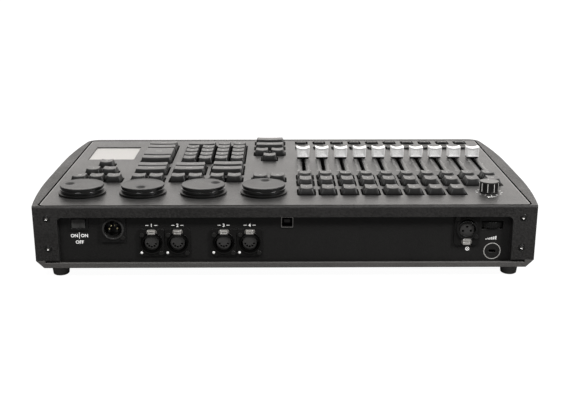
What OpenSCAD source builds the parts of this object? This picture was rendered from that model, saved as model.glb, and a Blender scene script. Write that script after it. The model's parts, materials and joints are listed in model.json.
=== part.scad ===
/* Lighting control desk with ten faders, four jog wheels, push keys and a rear
   connector bay. Millimetres. +X is the user's right, +Y the rear, +Z up; the
   origin is the middle of the footprint on the surface that the feet stand on.

   Most pieces are drawn in the deck frame: x across, y = 0 at the rear top edge
   and negative towards the user, z along the deck's normal. Rear pieces are
   drawn in the panel frame: x to the right seen from behind, y up the panel,
   z out of its face. */

/* [Casing] */
// Width across the widest part of the bowed sides
body_w = 530; // [510:1:550]
// Depth of the deck along its slope
deck_d = 314; // [312:1:330]
// Height of the rear face, from the deck down to the base
rear_h = 66; // [64:1:74]
// Slope of the deck, down towards the user (degrees)
tilt = 4; // [2:0.5:5]
// How far each side steps in at the rear corner
rear_bow = 8.1; // [4:0.1:9]
// How far each side steps in at the front corner
front_bow = 10.5; // [4:0.1:12]
// Depth of the bowed stretch at the rear
rear_bow_d = 110; // [90:1:130]
// Depth of the bowed stretch at the front
front_bow_d = 129; // [110:1:150]
// Radius of the front corners in plan
corner_r = 15; // [6:1:20]
// Radius of the rounded edge where the deck meets the rear face
edge_r = 2.4; // [1:0.1:2.6]
// Thickness of the side, front and rear walls
wall = 3; // [2:0.1:4]
// Thickness of the deck's rim
rim_t = 4.5; // [4:0.1:6]
// Height of the seam between casing and base above the underside
seam_h = 7.8; // [6:0.1:9]

/* [Base] */
// Thickness of the base sheet
base_t = 2; // [1.5:0.1:2.5]
// Height of the base's rear lip
lip_h = 5.1; // [4:0.1:5.5]
// Height of each foot
foot_h = 11.6; // [8:0.1:14]
// Diameter of each foot where it meets the base
foot_d = 19; // [14:0.1:24]
// Diameter of each foot on the surface
foot_tip_d = 16.4; // [11:0.1:18]
// Distance of the feet from the casing's sides
foot_in_x = 30.6; // [28:0.1:50]
// Distance of the feet from the casing's front and rear edges
foot_in_y = 15; // [14:0.5:24]

/* [Control plate] */
// Width of the casing's rim on each side of the plate
rail_w = 14; // [13:0.5:17]
// Distance from the rear top edge to the plate
plate_rear = 3.6; // [3:0.1:5]
// Distance from the plate to the front edge of the deck
plate_front = 8; // [6:0.1:10]
// Thickness of the plate
plate_t = 2; // [1.5:0.1:2.5]
// Radius of the plate's corners
plate_r = 5; // [3:0.5:10]
// Open groove around the plate
plate_groove = 0.6; // [0.4:0.1:1]
// Width of the ledge that carries the plate
ledge_w = 8; // [7:0.5:8]

/* [Keys] */
// Pitch of the pad keys
key_pitch = 19.05; // [19:0.01:19.2]
// Base size of a pad key
key_base = 17.6; // [16.6:0.1:17.8]
// Size of a pad key's top
key_top = 14; // [12:0.1:15]
// Height of the keys above the deck
key_h = 7; // [5:0.1:9]
// Width of the plate's bridges between neighbouring faders' keys
bridge_w = 3.06; // [2:0.01:4]
// How far an executor key's sides step in to its top
exec_lean = 2.5; // [1:0.1:3.5]
// Depth of the first two rows of executor keys
exec_d = 21.5; // [18:0.5:22]
// Depth of the third row of executor keys
exec_short_d = 18; // [16:0.5:18.5]
// Size of a flash key
flash_size = 12; // [11:0.1:14]
// Height of the flash keys above the deck
flash_h = 2.6; // [1.5:0.1:4]
// Gap between a key and its cut-out
key_gap = 1.3; // [0.6:0.1:1.4]
// Travel of every key
key_travel = 2.5; // [1.5:0.1:2.6]

/* [Faders] */
// Number of faders
fader_count = 10; // [8:1:10]
// Distance of the first fader from the desk's centre line
fader_x0 = 22.9; // [22:0.1:24]
// Distance of the last fader from the plate's side
fader_in = 22.36; // [20:0.01:24]
// Travel of a fader
fader_travel = 60; // [50:1:60]
// Width of a fader cap
cap_w = 16; // [12:0.1:17]
// Length of a fader cap
cap_l = 11; // [9:0.5:16]
// Height of a fader cap above the deck
cap_h = 15; // [12:0.1:17]
// Width of a fader slot
slot_w = 3.2; // [2.4:0.1:4]

/* [Wheels and knobs] */
// Number of jog wheels
wheel_count = 4; // [3:1:4]
// Distance of the first jog wheel from the centre line
wheel_x0 = 22.5; // [22:0.1:24]
// Distance of the last jog wheel from the plate's side
wheel_in = 35.9; // [32:0.1:40]
// Distance from the rear top edge to the wheels and the first key row
front_row_v = 51.5; // [51:0.1:53]
// Diameter of a jog wheel's base ring
wheel_d = 49.8; // [44:0.1:54]
// Diameter of a jog wheel's top face
wheel_top_d = 45.4; // [40:0.2:48]
// Height of a jog wheel above the deck
wheel_h = 10; // [7:0.5:14]
// Diameter of the master knob
knob_d = 20; // [16:0.5:22]
// Height of the master knob above the deck
knob_h = 12.5; // [9:0.5:18]
// Diameter of the control shafts
shaft_d = 6; // [5:0.1:6.5]

/* [Pad] */
// Width of the recessed pad
pad_w = 56; // [40:0.1:58]
// Depth of the recessed pad along the deck
pad_d = 67; // [50:0.5:70]
// Depth of the pad's face below the deck
pad_sink = 1.4; // [1:0.1:1.8]

/* [Rear bay] */
// Width of the leg at each end of the bay, from the widest part of the side
leg_w = 32.5; // [31:0.5:35]
// Height of the band above the bay
band_h = 12; // [11:0.1:13]
// Depth of the bay behind the rear face
bay_d = 7.5; // [6:0.1:9]
// Radius of the bay's upper corners
bay_r = 5; // [2:0.5:8]
// Thickness of the connector panel
panel_t = 1.5; // [1:0.1:2]
// Size of a round connector's flange
flange_w = 26; // [24:0.1:26.4]
// Thickness of a connector flange
flange_t = 2; // [1:0.1:3]
// Diameter of a round connector's mouth
mouth_d = 18.4; // [17:0.1:19]
// Depth of a round connector's mouth
mouth_depth = 11; // [8:0.5:14]

/* [Hidden] */
$fn = 48;
CURVE_FN = 360;
EPS = 0.01;
BIG = 1000;
FIT = 0.3;             // clearance of pieces that sit in a cut-out
RUN = 0.05;            // radial running clearance of a shaft

// Body
half_w = body_w / 2;
lean_y = rear_h * sin(tilt);                   // how far the rear face leans
plan_d = deck_d * cos(tilt) + lean_y;
base_rear_y = plan_d / 2;
top_rear_y = base_rear_y - lean_y;
front_y = -plan_d / 2;
base_z = foot_h;
top_rear_z = base_z + rear_h * cos(tilt);
seam_z = base_z + seam_h;
floor_z = base_z + base_t;
rear_arc_r = (rear_bow_d * rear_bow_d + rear_bow * rear_bow) / (2 * rear_bow);
front_arc_r = (front_bow_d * front_bow_d + front_bow * front_bow) / (2 * front_bow);
flat_rear_y = top_rear_y - rear_bow_d;
flat_front_y = front_y + front_bow_d;
lip_half_w = half_w - rear_bow - 10;
waste_w = 40;                                  // width that holds what a bowed side gives up
foot_xs = [foot_in_x - half_w, half_w - foot_in_x];
foot_ys = [front_y + foot_in_y, base_rear_y - foot_in_y];
foot_web = 4;
foot_head_d = 6;
tray_head_d = 6;
boss_d = 9;
boss_h = 14;
boss_x = half_w - max(rear_bow, front_bow) - wall - boss_d / 2 - 3;
boss_ys = [top_rear_y - 40, flat_rear_y - 30, flat_front_y - 10, front_y + 45];
boss_bore_d = 3.2;
screw_clear_d = 4.4;

// Control plate and its ledge
plate_w = body_w - 2 * rail_w;
plate_d = deck_d - plate_rear - plate_front;
plate_end_v = plate_rear + plate_d;
plate_mid_v = plate_rear + plate_d / 2;
ledge_rear_v = plate_rear + ledge_w;
ledge_front_v = plate_rear + plate_d - 3;
stud_d = 3;
stud_l = rim_t + 4;
stud_xs = [-(plate_w - ledge_w) / 2, (plate_w - ledge_w) / 2];
stud_vs = [for (f = [0.06, 0.3, 0.5, 0.7, 0.94]) plate_rear + f * plate_d];
nut_d = 6.4;
nut_t = 2.4;

// Stack below the deck
switch_top = -plate_t - key_travel - 0.5;
board_top = -12;
board_t = 1.6;
board_rear_v = 38;
board_front_v = ledge_front_v - 2;
board_half_w = plate_w / 2 - ledge_w - 3;
key_board_x0 = -1;
fader_board_x1 = -5;
main_x0 = -80;
main_x1 = 200;
main_y0 = -100;
main_y1 = 60;
main_z = floor_z + 8;
main_chips = [[0, -30, 30], [100, -30, 22], [150, -60, 26]];   // corner x, y and size
chip_h = 2.5;
main_hole_xs = [main_x0 + 5, main_x1 - 5];
main_hole_ys = [main_y0 + 5, main_y1 - 5];

// Faders share out the width of their side of the plate
fader_pitch = (plate_w / 2 - fader_x0 - fader_in) / (fader_count - 1);

// Keys
key_floor = -plate_t + 0.2;
skirt_z = 0.8;
stem = 5;
stem_low = switch_top - 4;
well = stem + 2 * FIT;
switch_w = 13.4;
cut_r = 2;
exec_w = fader_pitch - bridge_w - 2 * key_gap;
exec_top_w = exec_w - 2 * exec_lean;
flash_gap = 1.5;
exec_ds = [exec_d, exec_d, exec_short_d];
exec_gap_v = 2;
exec_counts = [fader_count - 2, fader_count, fader_count];
exec_row_gap = 1.85;

// The executor rows, the faders and the flash rows share out the depth too.
// Each entry of fader_cells is the depth that one of them takes with its cut-out.
flash_cell = flash_size + 2 * flash_gap;
flash_front = 14;
fader_cells = [exec_d + 2 * exec_gap_v, exec_row_gap, exec_short_d + 2 * exec_gap_v,
    fader_travel + cap_l, flash_cell];
fader_start = front_row_v + 1 + fader_cells[0] / 2;
fader_end = plate_end_v - flash_front - flash_cell / 2;
fader_shares = [0.136, 0.3206, 0.821];
fader_spare = fader_end - fader_start - fader_cells * [1, 1, 1, 1, 1];
exec_mid_v = fader_start + fader_cells[0] / 2 + fader_shares[0] * fader_spare;
exec_far_v = exec_mid_v + fader_cells[0] / 2 + exec_row_gap + fader_cells[2] / 2;
exec_vs = [front_row_v + 1, exec_mid_v, exec_far_v];
slot_mid_v = exec_far_v + fader_cells[2] / 2 + fader_cells[3] / 2
    + (fader_shares[1] - fader_shares[0]) * fader_spare;
fader_rest_v = slot_mid_v + fader_travel / 2;
flash_vs = [fader_end - flash_cell / 2 - (1 - fader_shares[2]) * fader_spare, plate_end_v - flash_front];
centre_x = 17.7;
centre_side = centre_x + key_pitch;

// Down the deck, each column's rows share out its spare depth the same way:
// the menu and number keys, the pyramid and the recessed pad, the centre keys.
row_start = front_row_v + wheel_d / 2;
row_shares = [0.24195, 0.39673, 0.59885];
row_spare = plate_end_v - row_start - 8 * key_pitch;
menu_v = row_start + 0.5 * key_pitch + row_shares[0] * row_spare;
menu_mid_v = row_start + 1.5 * key_pitch + row_shares[1] * row_spare;
menu_far_v = menu_mid_v + key_pitch;
number_v = row_start + 3.5 * key_pitch + row_shares[2] * row_spare;
wide_v = number_v + 2;
menu_end = menu_v + key_pitch / 2;
pyramid_shares = [0.1538, 0.333, 0.5874];
pyramid_spare = plate_end_v - menu_end - 2 * key_pitch - pad_d;
pyramid_vs = [menu_v, menu_end + 0.5 * key_pitch + pyramid_shares[0] * pyramid_spare,
    menu_end + 1.5 * key_pitch + pyramid_shares[1] * pyramid_spare];
pad_v = menu_end + 2 * key_pitch + pad_d / 2 + pyramid_shares[2] * pyramid_spare;
centre_shares = [0.6817, 0.7582, 0.8537, 0.9337];
centre_spare = plate_end_v - menu_end - 4 * key_pitch;
centre_vs = [for (i = [0:3]) menu_end + (i + 0.5) * key_pitch + centre_shares[i] * centre_spare];

// The number pad, the wide keys and the recessed pad stand between the centre
// keys and the plate's side. Each is given its share of the spare width.
pad_flange = 3;
pad_side = ledge_w + pad_flange + 2;
pad_shares = [0.3226, 0.6805];
pad_x = plate_w / 2 - pad_side - pad_w / 2;
pad_spare = plate_w / 2 - centre_side - 6 * key_pitch - pad_w - pad_side;
number_x = centre_side + 2 * key_pitch + pad_shares[0] * pad_spare;
wide_x = centre_side + 5 * key_pitch + pad_shares[1] * pad_spare;

// So do the three menu columns and the pyramid of arrow keys.
menu_shares = [0.231, 0.355, 0.481, 0.689];
menu_spare = plate_w / 2 - centre_side - 9 * key_pitch;
menu_step = 4;                                 // the innermost column's far row is set back
menu_columns = [for (i = [2, 1, 0])               // x and far row's v
    [centre_side + (2 * i + 1) * key_pitch + menu_shares[i] * menu_spare,
        menu_far_v + (i == 0 ? menu_step : 0)]];
pyramid_x = centre_side + 7.5 * key_pitch + menu_shares[3] * menu_spare;
pillar_vs = [(exec_vs[0] + exec_vs[1]) / 2, (flash_vs[0] + flash_vs[1]) / 2 + 1.5];
pillar_in = 6;
pillar_xs = [pillar_in - board_half_w, -fader_x0 - 4.16 * fader_pitch, -8.5,
    (number_x + wide_x + key_pitch) / 2, board_half_w - pillar_in];

// Faders
slot_end = 3;
frame_w = 10;
frame_over = 14;
frame_l = fader_travel + 2 * frame_over;
carriage_w = 5;
carriage_l = 8;
carriage_h = 5;
frame_floor = 1.5;
carriage_z = board_top + frame_floor + FIT;
pocket_w = carriage_w + 2 * FIT;
pocket_l = fader_travel + carriage_l + 2;
lever_t = 1.6;
lever_w = 5;
cap_low = 0.8;
cap_lean = 0.4;
saddle_r = 16;
saddle_depth = 1.8;
knob_x = -(fader_x0 + (fader_count - 1.5) * fader_pitch);

// Wheels
wheel_pitch = (plate_w / 2 - wheel_x0 - wheel_in) / (wheel_count - 1);
wheel_xs = [for (i = [0:wheel_count - 1]) wheel_x0 + i * wheel_pitch];
dimple_angles = [-95, -160, 89, -8];
dimple_at = 13.4;
dimple_r = 7;
dimple_depth = 2.4;
wheel_low = 0.6;
wheel_web = 4.5;
bush_d = shaft_d + 3;
bush_up = 1.6;
shaft_low = board_top + 2;
encoder_w = 14;

// Rear bay; places are in the panel frame
bay_w = body_w - 2 * leg_w;
rocker_in = 20.7;                              // from the bay's end
power_step = 35.1;                             // each from the connector before it
dmx_step = 39.3;
dmx_pitch = 26.7;
dmx_pair_pitch = 74.1;
usb_step = 38.6;
lock_in = 18.3;
dimmer_in = 19.4;
lamp_step = 26.2;
round_y = -25.2;                               // of the inlet and the lamp socket
rocker_at = [rocker_in - bay_w / 2, -20];
power_at = [rocker_at[0] + power_step, round_y];
dmx_x0 = power_at[0] + dmx_step;
dmx_y = 24.2 - rear_h;                          // both up from the rear face's foot
dmx_places = [for (pair = [0, 1], i = [0, 1]) [dmx_x0 + pair * dmx_pair_pitch + i * dmx_pitch, dmx_y]];
usb_at = [dmx_x0 + dmx_pair_pitch + dmx_pitch + usb_step, -19.2];
lock_at = [bay_w / 2 - lock_in, 14.9 - rear_h];
dimmer_at = [bay_w / 2 - dimmer_in, -23];
lamp_at = [dimmer_at[0] - lamp_step, round_y];
io_board_z = -21.5;
io_margin = 14.3;
io_x0 = dmx_x0 - io_margin;
io_x1 = usb_at[0] + io_margin;
io_y0 = dmx_y - io_margin - 1.9;
io_y1 = usb_at[1] + 5.3;
flange_short = 13;                             // a flange's reach from its mouth's centre
flange_power = 14.6;
flange_dmx = 16;
flange_lamp = 19;
contact_r = 4.8;
lamp_contact_r = 4.4;
power_arc = [250, -35];                        // span and start of the contacts' arc
dmx_arc = [210, 165];
lamp_arc = [180, 0];
round_sockets = concat([power_at, lamp_at], dmx_places);
screw_off = 9.7;
barrel_d = 22;
tab_w = 11;
tab_hh = 5.6;
tab_off = 12.5;
tab_deep = 2.5;
tab_proud = 1.4;
tab_room = tab_deep + tab_proud + 1;
lamp_tab_off = 15;
light_off = [-10.6, -9.5];
light_d = 3.2;
usb_w = 12;
usb_hh = 11;
frame_in_w = 16.6;
frame_in_h = 12.2;
rocker_w = 13.8;
rocker_hh = 9.6;
rocker_pivot_z = -1.5;
rocker_pin_d = 2;
dimmer_r = 15;
dimmer_t = 7.4;
dimmer_axis_z = 2.4 - dimmer_r;
dimmer_cheek = dimmer_t / 2 + 1.5;
dimmer_back = dimmer_axis_z - dimmer_r - 2.5;
ear_w = 16;
ear_low = rear_h - lip_h + 1.4;                // the ears end behind the base's lip
leg_screw_x = (half_w - rear_bow + bay_w / 2) / 2 - 2;
leg_screw_y = [-13, -45];
leg_screw_d = 3;
leg_head_d = 6.4;
leg_head_t = 1.2;

// Inner leads and flat cables
ribbon_plug_l = 44;
lead_plug_w = 8;
ribbon_xs = [-40, 60];
ribbon_y = -60;
plug_h = 6;
lead_d = 3;
lead_starts = [[-power_at[0], power_at[1]], [-rocker_at[0], rocker_at[1]]];

// Each fader's distance from the centre line.
function fader_x(k) = fader_x0 + k * fader_pitch;

// A point of the deck frame, v down the deck, in the part's own frame.
function deck_point(x, v, z) =
    [x, top_rear_y - v * cos(tilt) - z * sin(tilt), top_rear_z - v * sin(tilt) + z * cos(tilt)];

// ---------------------------------------------------------------- frames

module deck_frame() translate([0, top_rear_y, top_rear_z]) rotate([tilt, 0, 0]) children();

// Places children at x across and v down the deck from the rear top edge.
module at(x, v, z = 0) translate([x, -v, z]) children();

module panel_frame() deck_frame() translate([0, -bay_d, 0]) rotate([90, 0, 180]) children();

// ---------------------------------------------------------------- body forms

// What one bowed stretch takes off the left side, between two y values.
module bow_waste(arc_r, centre_y, low_y, high_y, inset)
    difference() {
        translate([-half_w - 1, low_y]) square([waste_w, high_y - low_y]);
        translate([arc_r - half_w, centre_y]) circle(arc_r - inset, $fn = CURVE_FN);
    }

// What rounding takes off one front corner of the plan.
module corner_waste(inset) {
    r = corner_r - inset;
    arc = front_arc_r - inset;
    rise = flat_front_y - front_y - inset - r;
    cx = half_w - front_arc_r + sqrt(pow(arc - r, 2) - rise * rise);
    cy = front_y + inset + r;
    touch_y = cy - r * rise / (arc - r);
    difference() {
        translate([cx, cy - 2 * r]) square([2 * r, touch_y - cy + 2 * r]);
        translate([cx, cy]) circle(r);
    }
}

// The desk's plan, drawn in by inset.
module plan(inset = 0)
    difference() {
        translate([inset - half_w, front_y + inset]) square([body_w - 2 * inset, plan_d - inset]);
        for (side = [0, 1]) mirror([side, 0]) {
            bow_waste(rear_arc_r, flat_rear_y, flat_rear_y, base_rear_y + 1, inset);
            bow_waste(front_arc_r, flat_front_y, front_y - 1, flat_front_y, inset);
            corner_waste(inset);
        }
    }

// Everything below the deck by top and in front of the rear face by rear.
module under_deck(top = 0, rear = 0)
    deck_frame() translate([-BIG / 2, -BIG, -BIG - top]) cube([BIG, BIG - rear, BIG]);

module shell_form(z, inset, top, rear)
    intersection() {
        translate([0, 0, z]) linear_extrude(top_rear_z + 1 - z) plan(inset);
        under_deck(top, rear);
    }

// What rounding takes off the rear top edge, in the deck frame.
module edge_waste() rotate([90, 0, 90]) linear_extrude(BIG, center = true) difference() {
    translate([-edge_r, -edge_r]) square(edge_r + 1);
    translate([-edge_r, -edge_r]) circle(edge_r, $fn = 48);
}

// A rounded box between two z values, centred in x and y.
module plate_form(w, d, r, z0, z1)
    translate([0, 0, z0]) linear_extrude(z1 - z0)
        union() {
            square([w - 2 * r, d], center = true);
            square([w, d - 2 * r], center = true);
            for (sx = [-1, 1], sy = [-1, 1])
                translate([sx * (w / 2 - r), sy * (d / 2 - r)]) circle(r);
        }

module box(x0, x1, y0, y1, z0, z1) translate([x0, y0, z0]) cube([x1 - x0, y1 - y0, z1 - z0]);

// ---------------------------------------------------------------- casing and base

// The bay seen from behind, open below, with rounded upper corners.
module bay_outline(grow) {
    top = -band_h + grow;
    r = bay_r + grow;
    w = bay_w / 2 + grow;
    translate([-w, -rear_h - 5]) square([2 * w, rear_h + 5 + top - r]);
    translate([r - w, top - r - EPS]) square([2 * (w - r), r + EPS]);
    for (side = [-1, 1]) translate([side * (w - r), top - r]) circle(r);
}

module casing() color("dimgray") difference() {
    union() {
        difference() {
            shell_form(seam_z, 0, 0, 0);
            shell_form(seam_z - 1, wall, rim_t, wall);
        }
        // Bosses stand beside the walls, each on a web that joins it to its wall.
        for (side = [-1, 1], y = boss_ys)
            translate([side * boss_x, y, floor_z]) cylinder(d = boss_d, h = boss_h);
        intersection() {
            for (side = [0, 1], y = boss_ys) mirror([side, 0, 0])
                box(boss_x, half_w, y - 2, y + 2, seam_z, floor_z + boss_h);
            shell_form(seam_z, wall / 2, 0, wall);
        }
    }
    deck_frame() {
        edge_waste();
        at(0, plate_mid_v) plate_form(plate_w + 2 * plate_groove, plate_d + 2 * plate_groove,
            plate_r + plate_groove, -plate_t, BIG / 10);
        at(0, (ledge_rear_v + ledge_front_v) / 2)
            plate_form(plate_w - 2 * ledge_w, ledge_front_v - ledge_rear_v, plate_r, -2 * rim_t, BIG / 10);
        for (x = stud_xs, v = stud_vs)
            at(x, v, -2 * rim_t) cylinder(d = stud_d + 2 * FIT, h = 4 * rim_t);
    }
    panel_frame() translate([0, 0, bay_d - wall - EPS]) linear_extrude(BIG / 10) bay_outline(0);
    panel_frame() for (side = [-1, 1], y = leg_screw_y)
        translate([side * leg_screw_x, y, 0]) {
            cylinder(d = leg_screw_d + 2 * FIT, h = BIG / 10);
            translate([0, 0, bay_d - leg_head_t]) cylinder(d = leg_head_d + 0.4, h = BIG / 10);
        }
    for (side = [-1, 1], y = boss_ys) translate([side * boss_x, y, base_z])
        cylinder(d = boss_bore_d, h = boss_h - 2);
}

// What one bowed stretch takes off the left flank, drawn in by low at its foot and high at its rim.
module flank_waste(arc_r, centre_y, low_y, high_y, z0, z1, low, high)
    difference() {
        box(-half_w - 1, waste_w - half_w, low_y, high_y, z0 - 1, z1 + 1);
        translate([arc_r - half_w, centre_y, z0 - 1])
            cylinder(r1 = arc_r - low - 1, r2 = arc_r - high + 1, h = z1 - z0 + 2, $fn = CURVE_FN);
    }

// The base between two levels, with 45 degree flanks along the bowed sides.
// At the seam it is drawn in by rim_in from the casing's side.
module flank_form(z0, z1, rim_in, front_in, rear_in) {
    high = rim_in + seam_z - z1;
    low = high + z1 - z0;
    intersection() {
        difference() {
            translate([0, base_rear_y + 1, 0]) rotate([90, 0, 0]) linear_extrude(plan_d + 1 - front_in)
                polygon([[low - half_w, z0], [half_w - low, z0], [half_w - high, z1], [high - half_w, z1]]);
            for (side = [0, 1]) mirror([side, 0, 0]) {
                flank_waste(rear_arc_r, flat_rear_y, flat_rear_y, base_rear_y + 2, z0, z1, low, high);
                flank_waste(front_arc_r, flat_front_y, front_y - 1, flat_front_y, z0, z1, low, high);
            }
        }
        deck_frame() translate([-BIG / 2, -BIG, -BIG]) cube([BIG, BIG - rear_in, BIG * 2]);
    }
}

module base_tray() color("gray") difference() {
    flank_form(base_z, seam_z, 0, 0, 0);
    flank_form(floor_z, seam_z + 1, base_t * sqrt(2), wall, wall);
    translate([0, 0, base_z - 1]) linear_extrude(seam_h + 2)
        for (side = [0, 1]) mirror([side, 0]) corner_waste(0);
    box(-lip_half_w, lip_half_w, base_rear_y - 2 * wall, base_rear_y + wall,
        base_z + lip_h, seam_z + 1);
    for (side = [-1, 1], y = boss_ys) translate([side * boss_x, y, base_z - 1])
        cylinder(d = screw_clear_d, h = seam_h);
    for (x = foot_xs, y = foot_ys) translate([x, y, base_z - 1]) cylinder(d = boss_bore_d, h = seam_h);
}

module feet() color("black") for (x = foot_xs, y = foot_ys) translate([x, y, 0]) difference() {
    cylinder(d1 = foot_tip_d, d2 = foot_d, h = foot_h);
    translate([0, 0, -1]) cylinder(d = foot_head_d + 1, h = 1 + foot_h - foot_web);
    cylinder(d = screw_clear_d, h = foot_h + 1);
}

// A screw along z: its head's underside at z = 0, its thread above.
module screw(head_d, head_t, d, length) {
    translate([0, 0, -head_t]) cylinder(d = head_d, h = head_t);
    cylinder(d = d, h = length);
}

module bottom_screws() color("silver") {
    for (side = [-1, 1], y = boss_ys) translate([side * boss_x, y, base_z])
        screw(tray_head_d, 2, boss_bore_d - 0.1, 10);
    for (x = foot_xs, y = foot_ys) translate([x, y, foot_h - foot_web])
        screw(foot_head_d, 2, boss_bore_d - 0.1, foot_web + base_t + 2);
}

// ---------------------------------------------------------------- control plate

// A cut-out for n by m keys of the pad pitch around a centre.
module pad_cut(x, v, n = 1, m = 1)
    at(x, v) plate_form(key_base + (n - 1) * key_pitch + 2 * key_gap,
        key_base + (m - 1) * key_pitch + 2 * key_gap, cut_r, -2 * plate_t, 1);

module plate_cuts() {
    for (row = [0:2], k = [0:exec_counts[row] - 1])
        at(-fader_x(k), exec_vs[row])
            plate_form(exec_w + 2 * key_gap, exec_ds[row] + 2 * exec_gap_v, cut_r, -2 * plate_t, 1);
    for (v = flash_vs, k = [0:fader_count - 1])
        at(-fader_x(k), v) plate_form(flash_size + 2 * flash_gap, flash_size + 2 * flash_gap,
            cut_r, -2 * plate_t, 1);
    for (k = [0:fader_count - 1])
        at(-fader_x(k), slot_mid_v) plate_form(slot_w, fader_travel + 2 * slot_end,
            slot_w / 2 - EPS, -2 * plate_t, 1);
    for (x = concat(wheel_xs, [knob_x]))
        at(x, front_row_v, -2 * plate_t) cylinder(d = bush_d + 2 * FIT, h = 3 * plate_t);
    at(pad_x, pad_v) plate_form(pad_w, pad_d, 1, -2 * plate_t, 1);
    pad_cut(number_x, number_v + 2 * key_pitch, 4, 5);
    pad_cut(wide_x, wide_v + 2 * key_pitch, 2, 5);
    for (c = menu_columns) {
        pad_cut(c[0], menu_v, 2);
        pad_cut(c[0], (menu_mid_v + c[1]) / 2, 2, 1 + (c[1] - menu_mid_v) / key_pitch);
    }
    for (i = [0:2]) pad_cut(pyramid_x, pyramid_vs[i], 3 - i);
    pad_cut(centre_x, menu_v, 2);
    pad_cut(centre_x, centre_vs[0]);
    for (i = [1:3]) pad_cut(centre_x, centre_vs[i], 2);
}

module control_plate() color("darkslategray") deck_frame() {
    difference() {
        at(0, plate_mid_v) plate_form(plate_w, plate_d, plate_r, -plate_t, 0);
        plate_cuts();
    }
    for (x = stud_xs, v = stud_vs) at(x, v, -stud_l) cylinder(d = stud_d, h = stud_l - plate_t + EPS);
}

module plate_nuts() color("silver") deck_frame()
    for (x = stud_xs, v = stud_vs) at(x, v, -rim_t - nut_t) difference() {
        cylinder(d = nut_d, h = nut_t, $fn = 6);
        translate([0, 0, -1]) cylinder(d = stud_d + 0.02, h = nut_t + 2);
    }

module pad_inlay() color("gainsboro") deck_frame() at(pad_x, pad_v) {
    plate_form(pad_w - 0.4, pad_d - 0.4, 1, -plate_t - EPS, -pad_sink);
    plate_form(pad_w + 2 * pad_flange, pad_d + 2 * pad_flange, 2, -plate_t - 1.2, -plate_t);
}

// ---------------------------------------------------------------- keys

// The corners of a key's outline at one height.
function key_ring(w, d, z) =
    [for (c = [[-1, -1], [1, -1], [1, 1], [-1, 1]]) [c[0] * w / 2, c[1] * d / 2, z]];

// A tapered cap on a stem, at x and v on the deck.
module key_cap(x, v, w, d, top_w, top_d, h) at(x, v) {
    points = concat(key_ring(w, d, key_floor), key_ring(w, d, skirt_z), key_ring(top_w, top_d, h));
    faces = concat([[0, 1, 2, 3], [11, 10, 9, 8]],
        [for (level = [0, 4], i = [0:3]) let (j = (i + 1) % 4)
            [level + i, level + i + 4, level + j + 4, level + j]]);
    polyhedron(points, faces);
    translate([-stem / 2, -stem / 2, stem_low]) cube([stem, stem, key_floor + 1 - stem_low]);
}

// A pad key n units wide and m units deep.
module pad_key(x, v, n = 1, m = 1)
    key_cap(x, v, key_base + (n - 1) * key_pitch, key_base + (m - 1) * key_pitch,
        key_top + (n - 1) * key_pitch, key_top + (m - 1) * key_pitch, key_h);

module exec_row(row) color("dimgray")
    deck_frame() for (k = [0:exec_counts[row] - 1])
        key_cap(-fader_x(k), exec_vs[row], exec_w, exec_ds[row], exec_top_w, exec_ds[row] - 5, key_h);

module flash_row(v) color("dimgray")
    deck_frame() for (k = [0:fader_count - 1])
        key_cap(-fader_x(k), v, flash_size, flash_size, flash_size - 1.6, flash_size - 1.6, flash_h);

module number_keys() color("dimgray") deck_frame() {
    for (i = [0:3], j = [0:3]) pad_key(number_x + (i - 1.5) * key_pitch, number_v + j * key_pitch);
    for (i = [0:1]) pad_key(number_x + (i - 1.5) * key_pitch, number_v + 4 * key_pitch);
    pad_key(number_x + key_pitch, number_v + 4 * key_pitch, 2);
}

module wide_keys() color("dimgray") deck_frame() {
    for (j = [0, 3, 4]) pad_key(wide_x, wide_v + j * key_pitch, 2);
    pad_key(wide_x, wide_v + 1.5 * key_pitch, 2, 2);
}

module menu_keys() color("dimgray") deck_frame() for (c = menu_columns) {
    for (i = [-0.5, 0.5]) pad_key(c[0] + i * key_pitch, menu_v);
    pad_key(c[0], menu_mid_v, 2);
    pad_key(c[0], c[1], 2);
}

module pyramid_keys() color("dimgray") deck_frame()
    for (row = [0:2], i = [0:2 - row])
        pad_key(pyramid_x + (i - (2 - row) / 2) * key_pitch, pyramid_vs[row]);

module centre_keys() color("dimgray") deck_frame() {
    for (i = [-0.5, 0.5], v = [menu_v, centre_vs[1]]) pad_key(centre_x + i * key_pitch, v);
    pad_key(centre_x, centre_vs[0]);
    for (i = [2, 3]) pad_key(centre_x, centre_vs[i], 2);
}

// One switch under each key: a housing with a square well for the key's stem.
module switch_at(x, v) at(x, v) difference() {
    box(-switch_w / 2, switch_w / 2, -switch_w / 2, switch_w / 2, board_top, switch_top);
    box(-well / 2, well / 2, -well / 2, well / 2, board_top - 1, switch_top + 1);
}

module key_switches() color("black") deck_frame() {
    for (row = [0:2], k = [0:exec_counts[row] - 1]) switch_at(-fader_x(k), exec_vs[row]);
    for (v = flash_vs, k = [0:fader_count - 1]) switch_at(-fader_x(k), v);
    for (i = [0:3], j = [0:3]) switch_at(number_x + (i - 1.5) * key_pitch, number_v + j * key_pitch);
    for (i = [-1.5, -0.5, 1]) switch_at(number_x + i * key_pitch, number_v + 4 * key_pitch);
    for (j = [0, 1.5, 3, 4]) switch_at(wide_x, wide_v + j * key_pitch);
    for (c = menu_columns) {
        for (i = [-0.5, 0.5]) switch_at(c[0] + i * key_pitch, menu_v);
        for (v = [menu_mid_v, c[1]]) switch_at(c[0], v);
    }
    for (row = [0:2], i = [0:2 - row])
        switch_at(pyramid_x + (i - (2 - row) / 2) * key_pitch, pyramid_vs[row]);
    for (i = [-0.5, 0.5], v = [menu_v, centre_vs[1]]) switch_at(centre_x + i * key_pitch, v);
    for (i = [0, 2, 3]) switch_at(centre_x, centre_vs[i]);
}

// ---------------------------------------------------------------- faders

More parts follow.
